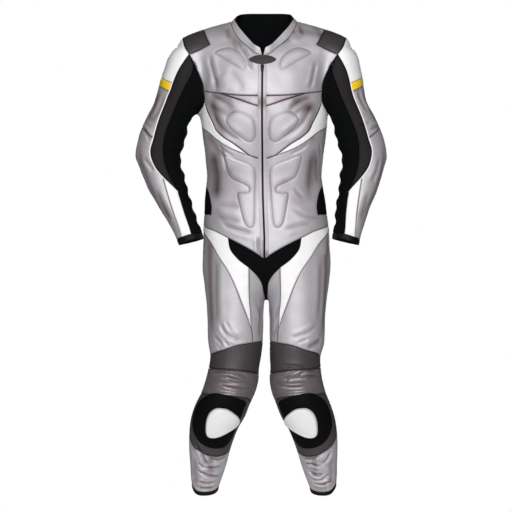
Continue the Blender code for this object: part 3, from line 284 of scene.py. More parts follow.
def fine_column(rows):
    """Rows of a section table as smooth curves: cubics through them, read every 3 mm."""
    rows = np.array(rows[::-1], float)
    up, values = rows[:, 0], rows[:, 1:]
    slope = np.gradient(values, up, axis=0)
    fine = np.arange(up[0], up[-1] + 1.5, 3.0)
    i = np.clip(np.searchsorted(up, fine, side="right") - 1, 0, len(up) - 2)
    span = (up[i + 1] - up[i])[:, None]
    t = np.clip((fine - up[i])[:, None] / span, 0, 1)
    return fine, (
        (2 * t**3 - 3 * t**2 + 1) * values[i] + (t**3 - 2 * t**2 + t) * span * slope[i]
        + (3 * t**2 - 2 * t**3) * values[i + 1] + (t**3 - t**2) * span * slope[i + 1]
    )


FINE = {"trunk": fine_column(TRUNK), "arm": fine_column(ARM), "leg": fine_column(LEG)}


def section(limb, up):
    """Centre across, centre depth, half width, half depth and squareness of a limb at a height."""
    fine, values = FINE[limb]
    a, b, c, d = (np.interp(up, fine, values[:, k]) for k in range(4))
    if limb == "trunk":
        return np.zeros_like(a), b, a, c, d
    return (a + b) / 2, c, (b - a) / 2, d, np.full_like(a, LIMB_SQUARE)


def level_distance(limb, p, across):
    """Distance to a limb's section in its own level plane, along the ray from the centre."""
    cx, cy, a, b, n = section(limb, p[:, 2])
    dx, dy = across - cx, p[:, 1] - cy
    r = np.hypot(dx, dy) + 1e-9
    rho = (np.abs(dx / a) ** n + np.abs(dy / b) ** n) ** (1 / n) + 1e-9
    return r - r / rho


def smooth_step(x):
    """0 to 1 with level ends: three times x squared less twice x cubed, x held between 0 and 1."""
    x = np.clip(x, 0, 1)
    return x * x * (3 - 2 * x)


def soft_min(a, b, k):
    """The lesser of two distances, less a rounding wherever they differ by under k."""
    h = np.maximum(k - np.abs(a - b), 0) / k
    return np.minimum(a, b) - h * h * k / 4


def trunk_field(p):
    """Distance from the trunk, which turns into that from the legs over the hips."""
    legs = smooth_step((HIP_TOP - p[:, 2]) / (HIP_TOP - HIP_END))
    across = np.hypot(p[:, 0], np.interp(p[:, 2], *GROOVE))
    return (1 - legs) * level_distance("trunk", p, p[:, 0]) + legs * level_distance("leg", p, across)


def arm_field(p):
    """Distance from the arms, cut off by a soft roof at the shoulder."""
    arm = level_distance("arm", p, np.abs(p[:, 0]))
    hang = np.interp(p[:, 2], (-720, -690), (200, 0))  # nothing below the cuff
    return -soft_min(-arm, -(p[:, 2] - SHOULDER_ROOF), 40.0) + hang


def gathered(p, arm):
    """Depth of the gathers at points, with the distance of each from the arm."""
    depth, across = 0.0, np.abs(p[:, 0])
    for limb, at, half_turn, top, foot, pitch, slant, deep in GATHERS:
        cx, cy, *_ = section(limb, p[:, 2])
        turn = np.arctan2(across - cx, cy - p[:, 1]) - np.radians(at)
        turn = (turn + np.pi) % (2 * np.pi) - np.pi
        up = p[:, 2] + slant * turn * SPREAD[limb]
        fade = smooth_step((top - up) / FADE) * smooth_step((up - foot) / FADE)
        fade = fade * smooth_step(2 - 2 * np.abs(turn) / np.radians(half_turn))
        if limb == "arm":
            fade = fade * smooth_step(1.5 - arm / 8)
        depth = depth + deep * fade * (0.5 - 0.5 * np.cos(2 * np.pi * up / pitch))
    return depth


def field(p):
    """Below 0 inside the filled suit, above 0 outside."""
    arm = arm_field(p)
    return soft_min(trunk_field(p), arm, ARM_BLEND) + gathered(p, arm)


def gradient(p):
    """The way the field rises: its differences over a millimetre along each axis."""
    steps = np.eye(3) * 0.5
    return np.stack([field(p + s) - field(p - s) for s in steps], axis=1)


def unit(v):
    """Each row divided by its own length."""
    return v / np.linalg.norm(v, axis=1, keepdims=True)


def normal(p):
    """The way out of the suit at each point."""
    return unit(gradient(p))


def settle(p, turns=4):
    """Moves points onto the surface by Newton steps along the gradient."""
    for _ in range(turns):
        g = gradient(p)
        p = p - field(p)[:, None] * g / np.maximum((g * g).sum(axis=1, keepdims=True), 1e-9)
    return p


def first_crossing(start, way, step, count):
    """Where rays first cross the surface: a march of `count` steps, then halving."""
    reach = np.arange(count) * step
    trail = start[:, None] + reach[None, :, None] * way[:, None]
    value = field(trail.reshape(-1, 3)).reshape(len(start), count)
    crossed = np.sign(value) != np.sign(value[:, :1])
    last = np.maximum(np.argmax(crossed, axis=1), 1)
    low, high = reach[last - 1], reach[last]
    sign = np.sign(value[:, 0])
    for _ in range(12):
        middle = (low + high) / 2
        same = np.sign(field(start + middle[:, None] * way)) == sign
        low, high = np.where(same, middle, low), np.where(same, high, middle)
    return start + ((low + high) / 2)[:, None] * way


def posed(p):
    """The hang of the filled suit, which only shifts points across."""
    arm = smooth_step(0.5 + (trunk_field(p) - arm_field(p)) / 70)
    sway, lean = (np.interp(p[:, 2], *zip(*rows)) for rows in (SWAY, LEAN))
    out = p.copy()
    out[:, 0] += (1 - arm) * (lean + TURN * p[:, 1]) - arm * sway
    return out


# A place on the surface: the side it is seen from, then across and up (front, back),
# across and depth (top, under, crotch), or degrees round the limb from its front and up.
PLACES = {
    "neck_front": ("front", 3, -94), "neck_side": ("top", 97, 8), "neck_back": ("back", 0, 0),
    "shoulder": ("top", 183, 8), "patch_in": ("front", 160, -64), "patch_out": ("front", 222, -93),
    "patch_top": ("top", 244, 6), "patch_rear_out": ("back", 222, -98), "patch_rear_in": ("back", 155, -70),
    "chest_arm": ("front", 177, -204), "chest_tip": ("front", 128, -211), "chest_zip": ("front", 3, -219),
    "inset_zip": ("front", 3, -252), "flash_arm": ("front", 176, -232), "armpit": ("under", 198, 0),
    "sleeve_rear": ("back", 188, -168), "flash_side": ("trunk", 90, -302), "flash_tip": ("front", 39, -397),
    "rib_zip": ("front", 3, -409), "inset_top": ("trunk", 88, -484), "inset_front": ("front", 160, -572),
    "inset_side": ("trunk", 92, -572), "inset_rear": ("back", 150, -572), "hip_side": ("trunk", 90, -604),
    "hip_vee": ("front", 110, -642), "hip_zip": ("front", 3, -702), "hip_rear": ("trunk", 118, -606),
    "hip_back": ("back", 0, -620), "gusset_turn": ("front", 47, -731), "crotch": ("leg", 262, -833),
    "crotch_mid": ("crotch", 0, 10),
    "thigh_tip": ("front", 40, -913), "knee_in": ("front", 36, -955), "knee_outer": ("leg", 100, -1000),
    "knee_inner": ("leg", 268, -950), "stretch_outer": ("leg", 100, -1030),
    "stretch_inner": ("leg", 266, -1050), "guard_outer": ("leg", 98, -1108),
    "guard_inner": ("leg", 265, -1128), "shin_outer": ("leg", 86, -1228), "shin_inner": ("leg", 270, -1272),
    "hem_outer": ("leg", 68, -1384), "hem_inner": ("leg", 262, -1388), "band_front": ("front", 265, -180),
    "band_low": ("front", 272, -205),
    "band_rear": ("arm", 218, -196), "band_low_rear": ("arm", 221, -221), "elbow_front": ("front", 321, -345),
    "elbow_rear": ("arm", 228, -330), "white_tip": ("front", 297, -459), "strip_end": ("front", 254, -504),
    "cuff_outer": ("front", 259, -640), "cuff_inner": ("front", 228, -630), "cuff_rear": ("arm", 222, -632),
}

# Each seam runs through named places, where other seams meet it, and plain ones between.
SEAMS = {
    "neckline": ["neck_front", ("front", 21, -90), ("front", 38, -76), ("front", 73, -45), ("front", 93, -12),
                 "neck_side", ("back", 80, -3), ("back", 45, 0), "neck_back"],
    "shoulder": ["neck_side", ("top", 140, 8), "shoulder"],
    "patch_neck": ["patch_in", ("front", 171, -42), "shoulder", ("back", 171, -44), "patch_rear_in"],
    "patch_front": ["patch_in", ("front", 191, -80), "patch_out"],
    "patch_back": ["patch_rear_in", ("back", 190, -86), "patch_rear_out"],
    "patch_arm": ["patch_out", ("front", 237, -68), "patch_top", ("back", 237, -70), "patch_rear_out"],
    "armhole": ["patch_out", ("front", 197, -138), ("front", 180, -180), "chest_arm", "flash_arm",
                ("front", 184, -252), "armpit", ("back", 186, -250), ("back", 181, -212), "sleeve_rear",
                ("back", 203, -130), "patch_rear_out"],
    "zip_edge": ["neck_front", ("front", 3, -150), "chest_zip", "inset_zip", ("front", 3, -330), "rib_zip",
                 ("front", 3, -500), ("front", 3, -600), "hip_zip"],
    "chest": ["chest_arm", ("front", 152, -208), "chest_tip"],
    "chest_high": ["chest_tip", ("front", 72, -217), "chest_zip"],
    "chest_low": ["chest_tip", ("front", 72, -229), ("front", 33, -243), "inset_zip"],
    "flash_high": ["flash_arm", ("front", 152, -293), ("front", 139, -321), ("front", 117, -342),
                   ("front", 84, -363), "flash_tip"],
    "flash_low": ["flash_side", ("front", 166, -325), ("front", 132, -353), ("front", 92, -377), "flash_tip"],
    "rib": ["flash_tip", "rib_zip"],
    "side_high": ["armpit", ("trunk", 90, -286), "flash_side", ("trunk", 90, -390), "inset_top"],
    "inset_front": ["inset_top", ("front", 167, -502), ("front", 159, -543), "inset_front"],
    "inset_foot": ["inset_front", "inset_side", "inset_rear"],
    "inset_rear": ["inset_top", ("back", 162, -520), "inset_rear"],
    "side_low": ["inset_side", "hip_side"],
    "hip": ["hip_zip", ("front", 52, -672), "hip_vee", ("front", 150, -622), "hip_side", "hip_rear",
            ("trunk", 150, -613), "hip_back"],
    "gusset": ["hip_vee", ("front", 103, -676), ("front", 79, -706), "gusset_turn", ("front", 23, -754),
               ("front", 9, -778), ("front", 5, -804), "crotch"],
    "thigh_high": ["hip_side", ("front", 162, -658), ("front", 137, -700), ("front", 113, -735),
                   ("front", 92, -775), ("front", 70, -829), "thigh_tip", "knee_in"],
    "thigh_low": ["gusset_turn", ("front", 46, -830), "thigh_tip"],
    "crotch": ["crotch", "crotch_mid"],
    "seat": ["hip_rear", ("back", 150, -700), ("back", 96, -792), ("back", 42, -838), "crotch"],
    "leg_outer": ["hip_rear", ("leg", 108, -700), ("leg", 104, -850), "knee_outer", "stretch_outer",
                  "guard_outer", "shin_outer", ("leg", 76, -1310), "hem_outer"],
    "leg_inner": ["knee_inner", "stretch_inner", "guard_inner", "shin_inner", "hem_inner"],
    "knee_top": ["knee_outer", ("leg", 60, -988), ("front", 118, -975), ("front", 78, -962), "knee_in",
                 "knee_inner"],
    "knee_rear": ["knee_outer", ("leg", 140, -1008), ("leg", 184, -1006), ("leg", 228, -985), "knee_inner"],
    "stretch_top": ["stretch_outer", ("leg", 50, -1032), ("leg", 0, -1036), ("leg", -50, -1043),
                    "stretch_inner"],
    "guard_top": ["guard_outer", ("leg", 50, -1108), ("leg", 0, -1112), ("leg", -50, -1120), "guard_inner"],
    "shin_top": ["shin_outer", ("leg", 50, -1262), ("front", 166, -1290), ("front", 124, -1294),
                 "shin_inner"],
    "hem_front": ["hem_outer", ("leg", 30, -1401), ("leg", -10, -1404), ("leg", -60, -1396), "hem_inner"],
    "hem_rear": ["hem_outer", ("leg", 110, -1374), ("leg", 160, -1366), ("leg", 215, -1372), "hem_inner"],
    "piped": ["patch_out", ("front", 250, -138), "band_front", "band_low", ("front", 304, -287),
              "elbow_front", ("front", 331, -384), ("front", 321, -425), "white_tip", "strip_end"],
    "strip": ["patch_out", ("front", 206, -138), ("front", 230, -198), ("front", 260, -267),
              ("front", 286, -335), ("front", 291, -392), ("front", 280, -447), "strip_end"],
    "white_in": ["strip_end", ("front", 241, -566), "cuff_inner"],
    "white_out": ["white_tip", ("front", 287, -504), ("front", 268, -591), "cuff_outer"],
    "sleeve_rear": ["sleeve_rear", "band_rear", "band_low_rear", ("arm", 228, -270), "elbow_rear",
                    ("arm", 228, -420), ("arm", 225, -520), "cuff_rear"],
    "band_top": ["band_front", ("arm", 60, -166), ("arm", 90, -160), ("arm", 150, -172), "band_rear"],
    "band_foot": ["band_low", ("arm", 60, -190), ("arm", 90, -184), ("arm", 150, -197), "band_low_rear"],
    "elbow": ["elbow_front", ("arm", 60, -318), ("arm", 90, -308), ("arm", 150, -314), "elbow_rear"],
    "cuff_white": ["cuff_outer", "cuff_inner"],
    "cuff_under": ["cuff_inner", ("arm", 310, -628), ("arm", 265, -627), "cuff_rear"],
    "cuff_over": ["cuff_outer", ("arm", 90, -647), ("arm", 135, -645), ("arm", 180, -639), "cuff_rear"],
}
FAR = {"front": (-1, 300), "back": (1, 300)}
UNDER_START = {"under": -322.0, "crotch": -900.0}
AXIS = np.array([[0.0, 0.0, 1.0]])
OFF_CENTRE = 10.0  # rays start this far from a limb's centre, where the sections meet


def find_place(place):
    """The surface point that a row of the tables names."""
    side, one, two = PLACES[place] if isinstance(place, str) else place
    if side in FAR:
        sign, far = FAR[side]
        return first_crossing(np.array([[one, sign * far, two]]), np.array([[0, -sign, 0.0]]), 4.0, 140)[0]
    if side == "top":
        return first_crossing(np.array([[one, two, 90.0]]), -AXIS, 3.0, 120)[0]
    if side in UNDER_START:
        return first_crossing(np.array([[one, two, UNDER_START[side]]]), AXIS, 2.0, 120)[0]
    return from_round(side, np.array([[np.radians(one), two]]))[0]


def from_round(limb, polar):
    """Points on the surface at angles round a limb's centre and heights."""
    cx, cy, *_ = section(limb, polar[:, 1])
    way = np.stack([np.sin(polar[:, 0]), -np.cos(polar[:, 0]), 0 * polar[:, 0]], axis=1)
    start = np.stack([cx, cy, polar[:, 1]], axis=1) + OFF_CENTRE * way
    return first_crossing(start, way, 4.0, 80)


def run_of(line):
    """How far along a polyline each of its points lies."""
    return np.concatenate([[0], np.cumsum(np.linalg.norm(np.diff(line, axis=0), axis=1))])


def length_of(line):
    """The sum of a polyline's steps."""
    return np.linalg.norm(np.diff(line, axis=0), axis=1).sum()


def along(points, count):
    """A polyline at `count` + 1 even steps of its length."""
    run = run_of(points)
    at = np.linspace(0, run[-1], count + 1)
    return np.stack([np.interp(at, run, points[:, k]) for k in range(3)], axis=1)


def spline(points, steps=24):
    """A Catmull-Rom curve through the points, `steps` samples a span."""
    ends = np.concatenate([2 * points[:1] - points[1:2], points, 2 * points[-1:] - points[-2:-1]])
    t = (np.arange(steps) / steps)[:, None]
    spans = [
        0.5 * (2 * b + (c - a) * t + (2 * a - 5 * b + 4 * c - d) * t**2 + (3 * b - a - 3 * c + d) * t**3)
        for a, b, c, d in zip(ends, ends[1:], ends[2:], ends[3:])
    ]
    return np.concatenate(spans + [points[-1:]])


def cut_runs():
    """Every stretch of seam between two named places, as evenly spaced surface points."""
    runs, steps = {}, 24
    for name, places in SEAMS.items():
        curve = settle(spline(np.array([find_place(p) for p in places]), steps))
        stops = [i for i, p in enumerate(places) if isinstance(p, str)]
        for a, b in zip(stops, stops[1:]):
            piece = curve[a * steps : b * steps + 1]
            run = settle(along(piece, max(1, round(length_of(piece) / SEAM_STEP))))
            run[0], run[-1] = find_place(places[a]), find_place(places[b])
            runs[name, places[a], places[b]] = run
    return runs


RUNS = cut_runs()


def chain(seam, start, end):
    """The points of a seam from one named place to another, either way along it."""
    stops = [p for p in SEAMS[seam] if isinstance(p, str)]
    a, b = stops.index(start), stops.index(end)
    if a > b:
        return chain(seam, end, start)[::-1]
    pieces = [RUNS[seam, stops[i], stops[i + 1]] for i in range(a, b)]
    return np.concatenate([pieces[0]] + [p[1:] for p in pieces[1:]])


SADDLE_HUB, SADDLE_SPREAD = (0.0, -640.0), 150.0


def stretched_height():
    """Length along the trunk's side outline, which evens out the steps over the shoulders."""
    fine, values = FINE["trunk"]
    slope = np.gradient(values[:, 0], fine)
    run = np.concatenate([[0], np.cumsum(np.hypot(1, (slope[1:] + slope[:-1]) / 2) * 3.0)])
    return fine, run


HEIGHTS = stretched_height()


def flatten(chart, p):
    """Points laid flat: the angle round the limb times its spread, by height. Over the seat it is
    the place across, by the angle round a hub."""
    if chart == "saddle":
        turn = np.arctan2(SADDLE_HUB[1] - p[:, 2], SADDLE_HUB[0] - p[:, 1])
        turn = np.where(turn < -np.pi / 2, turn + 2 * np.pi, turn)
        return np.stack([p[:, 0], turn * SADDLE_SPREAD], axis=1)
    cx, cy, *_ = section(chart, p[:, 2])
    turn = np.arctan2(p[:, 0] - cx, cy - p[:, 1])
    up = np.interp(p[:, 2], *HEIGHTS) if chart == "trunk" else p[:, 2]
    return np.stack([np.unwrap(turn) * SPREAD[chart], up], axis=1)


def unflatten(chart, flat):
    """Flat points put back on the surface, the other way round from `flatten`."""
    if chart == "saddle":
        turn = flat[:, 1] / SADDLE_SPREAD
        start = np.stack([flat[:, 0], 0 * turn + SADDLE_HUB[0], 0 * turn + SADDLE_HUB[1]], axis=1)
        way = np.stack([0 * turn, -np.cos(turn), -np.sin(turn)], axis=1)
        return first_crossing(start, way, 4.0, 80)
    up = np.interp(flat[:, 1], HEIGHTS[1], HEIGHTS[0]) if chart == "trunk" else flat[:, 1]
    return from_round(chart, np.stack([flat[:, 0] / SPREAD[chart], up], axis=1))


def edge_distance(points, outline):
    """Signed distance of flat points from an outline, above 0 inside it."""
    a, b = outline, np.roll(outline, -1, axis=0)
    edge = b - a
    t = ((points[:, None] - a) * edge).sum(2) / np.maximum((edge**2).sum(1), 1e-9)
    near = a + np.clip(t, 0, 1)[..., None] * edge
    distance = np.linalg.norm(points[:, None] - near, axis=2).min(axis=1)
    x, y = points[:, :1], points[:, 1:]
    crosses = ((a[:, 1] > y) != (b[:, 1] > y)) & (
        x < edge[:, 0] * (y - a[:, 1]) / np.where(edge[:, 1] == 0, 1e-9, edge[:, 1]) + a[:, 0]
    )
    return np.where(crosses.sum(axis=1) % 2 == 1, distance, -distance)


def near_edge(points, ring, closed=True, block=2000):
    """Distance of points in space from a polyline, and how far along it the nearest place is."""
    after = np.roll(ring, -1, axis=0) if closed else ring[1:]
    a = ring if closed else ring[:-1]
    span = after - a
    long = np.linalg.norm(span, axis=1)
    run = np.concatenate([[0], np.cumsum(long)[:-1]])
    distance, along_it = np.empty(len(points)), np.empty(len(points))
    for i in range(0, len(points), block):
        offset = points[i : i + block, None] - a
        t = np.clip((offset * span).sum(2) / np.maximum(long**2, 1e-9), 0, 1)
        far = np.linalg.norm(offset - t[..., None] * span, axis=2)
        best = far.argmin(axis=1)
        rows = np.arange(len(best))
        distance[i : i + block] = far[rows, best]
        along_it[i : i + block] = run[best] + t[rows, best] * long[best]
    return distance, along_it


def in_blocks(function, values, block=4000):
    """A function's results over many values, worked out a block at a time to spare memory."""
    return np.concatenate([function(values[i : i + block]) for i in range(0, len(values), block)])


def round_outline(outline, step):
    """A closed smooth curve through an outline's points, at even steps."""
    ring = np.array(outline[-1:] + outline + outline[:2], float)
    curve = spline(np.column_stack([ring, 0 * ring[:, 0]]))[24:-24]
    return along(curve, round(length_of(curve) / step))[:-1, :2]


def turn_area(ring):
    """Twice the area of a flat outline, above 0 where it turns left."""
    after = np.roll(ring, -1, axis=0)
    return (ring[:, 0] * after[:, 1] - ring[:, 1] * after[:, 0]).sum()


def inward(loop, normals, way):
    """The way from each place on an outline into its piece, mitred at corners."""
    ahead = unit(np.roll(loop, -1, axis=0) - loop)
    sides = unit(way * np.cross(normals, ahead))
    before = np.roll(sides, 1, axis=0)
    return (sides + before) / np.maximum(1 + (sides * before).sum(axis=1, keepdims=True), 0.05)


def like(chart, flat, other):
    """Flat points turned round the limb by whole turns until they lie beside others."""
    if chart != "saddle":
        whole = 2 * np.pi * SPREAD[chart]
        flat[:, 0] -= np.round((flat[:, 0] - other[:, 0]) / whole) * whole
    return flat


def evened(points, tris):
    """The same places joined by triangles whose edges are turned wherever that makes them less thin."""
    rough, work = bpy.data.meshes.new("rough"), bmesh.new()
    rough.from_pydata(points * MM, [], tris)
    work.from_mesh(rough)
    bmesh.ops.beautify_fill(work, faces=work.faces[:], edges=work.edges[:], method="ANGLE")
    work.to_mesh(rough)
    work.free()
    better = np.empty(len(rough.loops), np.int32)
    rough.loops.foreach_get("vertex_index", better)
    bpy.data.meshes.remove(rough)
    return better.reshape(-1, 3).astype(int)


def surface_patch(loop, chart, step, rows=(1.4, 3.2), dots=()):
    """Points and faces over the surface inside an outline: the outline itself, rows a little way in
    from it, any further places, and a staggered grid, joined by triangles in the flat map."""
    flat, count = flatten(chart, loop), len(loop)
    out = normal(loop)
    a, b = flat, np.roll(flat, -1, axis=0)
    spin = np.cross(np.roll(loop, -1, axis=0) - loop, out)  # away from or into the piece
    nudged = settle(loop + 0.8 * unit(spin), 2)
    inside = edge_distance(like(chart, flatten(chart, nudged), flat), flat)
    way = -1.0 if np.median(inside) > 0 else 1.0
    inner = inward(loop, out, way)
    marks, found = [flat], [loop]
    for by in rows:
        row = settle(loop + by * inner, 2)
        spread = like(chart, flatten(chart, row), flat)
        far, _ = near_edge(row, loop)
        keep = (edge_distance(spread, flat) > 0.05 * by) & (far > 0.85 * by)
        marks.append(spread[keep])
        found.append(row[keep])
    edges = [(i, (i + 1) % count) for i in range(count)]
    grid = inside_grid(flat, step, step * 0.3)
    if len(dots):
        spread = flatten(chart, dots)
        marks.append(spread)
        found.append(dots)
        apart = in_blocks(lambda g: np.linalg.norm(g[:, None] - spread, axis=2).min(axis=1), grid, 1000)
        grid = grid[apart > step * 0.6]
    if len(grid):
        on = in_blocks(lambda g: unflatten(chart, g), grid)
        far, _ = near_edge(on, loop)
        keep = far > (max(rows) if rows else 0) + step * 0.35
        marks.append(grid[keep])
        found.append(on[keep])
    marks, points = np.concatenate(marks), np.concatenate(found)
    _, _, tris, origin, *_ = delaunay_2d_cdt([Vector(m) for m in marks], edges, [], 1, 1e-6, True)
    first = np.array([rows_of[0] if rows_of else -1 for rows_of in origin])
    tris = first[np.array(tris)]
    tris = tris[(tris >= 0).all(axis=1)]
    tris = evened(points, tris[edge_distance(marks[tris].mean(axis=1), flat) > 0])
    normals = in_blocks(normal, points)
    a, b, c = points[tris[:, 0]], points[tris[:, 1]], points[tris[:, 2]]
    if (np.cross(b - a, c - a) * normals[tris[:, 0]]).sum() < 0:
        tris = tris[:, ::-1]
    points[:count] += SEAM_GAP / 2 * inner
    return points, normals, tris, marks


def inside_grid(outline, step, keep_off):
    """Staggered grid points inside an outline and clear of its edge."""
    low, high = outline.min(axis=0), outline.max(axis=0)
    rise = step * 0.87
    x, y = np.meshgrid(np.arange(low[0] - step, high[0] + step, step), np.arange(low[1], high[1], rise))
    x = x + (np.arange(len(x)) % 2 * step / 2)[:, None]
    points = np.stack([x.ravel(), y.ravel()], axis=1)
    return points[edge_distance(points, outline) > keep_off]


def add_mesh(name, points, faces, material, body="suit", attributes=(), cut=None, turn=45):
    """An object from arrays, with its numbers per point and the flat place of each point as UV.
    Edges that turn by more than `turn` degrees stay sharp."""
    mesh = bpy.data.meshes.new(name)
    faces = np.asarray(faces)
    mesh.vertices.add(len(points))
    mesh.vertices.foreach_set("co", (np.asarray(points) * MM).ravel())
    mesh.loops.add(faces.size)
    mesh.loops.foreach_set("vertex_index", faces.ravel())
    mesh.polygons.add(len(faces))
    mesh.polygons.foreach_set("loop_start", np.arange(len(faces)) * faces.shape[1])
    mesh.update(calc_edges=True)
    mesh.validate()
    for title, values in dict(attributes).items():
        mesh.attributes.new(title, "FLOAT", "POINT").data.foreach_set("value", np.asarray(values, np.float32))
    if cut is not None:
        where = np.empty(len(mesh.loops), int)
        mesh.loops.foreach_get("vertex_index", where)
        mesh.uv_layers.new(name="cut").data.foreach_set("uv", (cut[where] * MM).ravel())
    mesh.polygons.foreach_set("use_smooth", np.full(len(mesh.polygons), turn > 0))
    if turn < 180:
        mesh.set_sharp_from_angle(angle=np.radians(turn))
    mesh.materials.append(material)
    made = bpy.data.objects.new(name, mesh)
    room.collection.objects.link(made)
    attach(made, body)
    return made


def surface_area(points, tris):
    """The triangles' areas added up, each half the length of two sides' cross product."""
    a, b, c = points[tris[:, 0]], points[tris[:, 1]], points[tris[:, 2]]
    return np.linalg.norm(np.cross(b - a, c - a), axis=1).sum() / 2


def cut_size(flat, area):
    """Width and length of the smallest box round a flat outline, at its real size. A bent strip,
    which fills under a third of its box, is measured along its run."""
    turns = np.radians(np.arange(0, 90, 3))
    x = flat[:, :1] * np.cos(turns) + flat[:, 1:] * np.sin(turns)
    y = flat[:, 1:] * np.cos(turns) - flat[:, :1] * np.sin(turns)
    wide, tall = np.ptp(x, axis=0), np.ptp(y, axis=0)
    best = (wide * tall).argmin()
    scale = np.sqrt(area / (abs(turn_area(flat)) / 2))
    size = sorted((wide[best] * scale, tall[best] * scale))
    if area < 0.33 * size[0] * size[1]:
        long = np.linalg.norm(np.roll(flat, -1, axis=0) - flat, axis=1).sum() / 2 * scale
        size = [area / long, long]
    return size


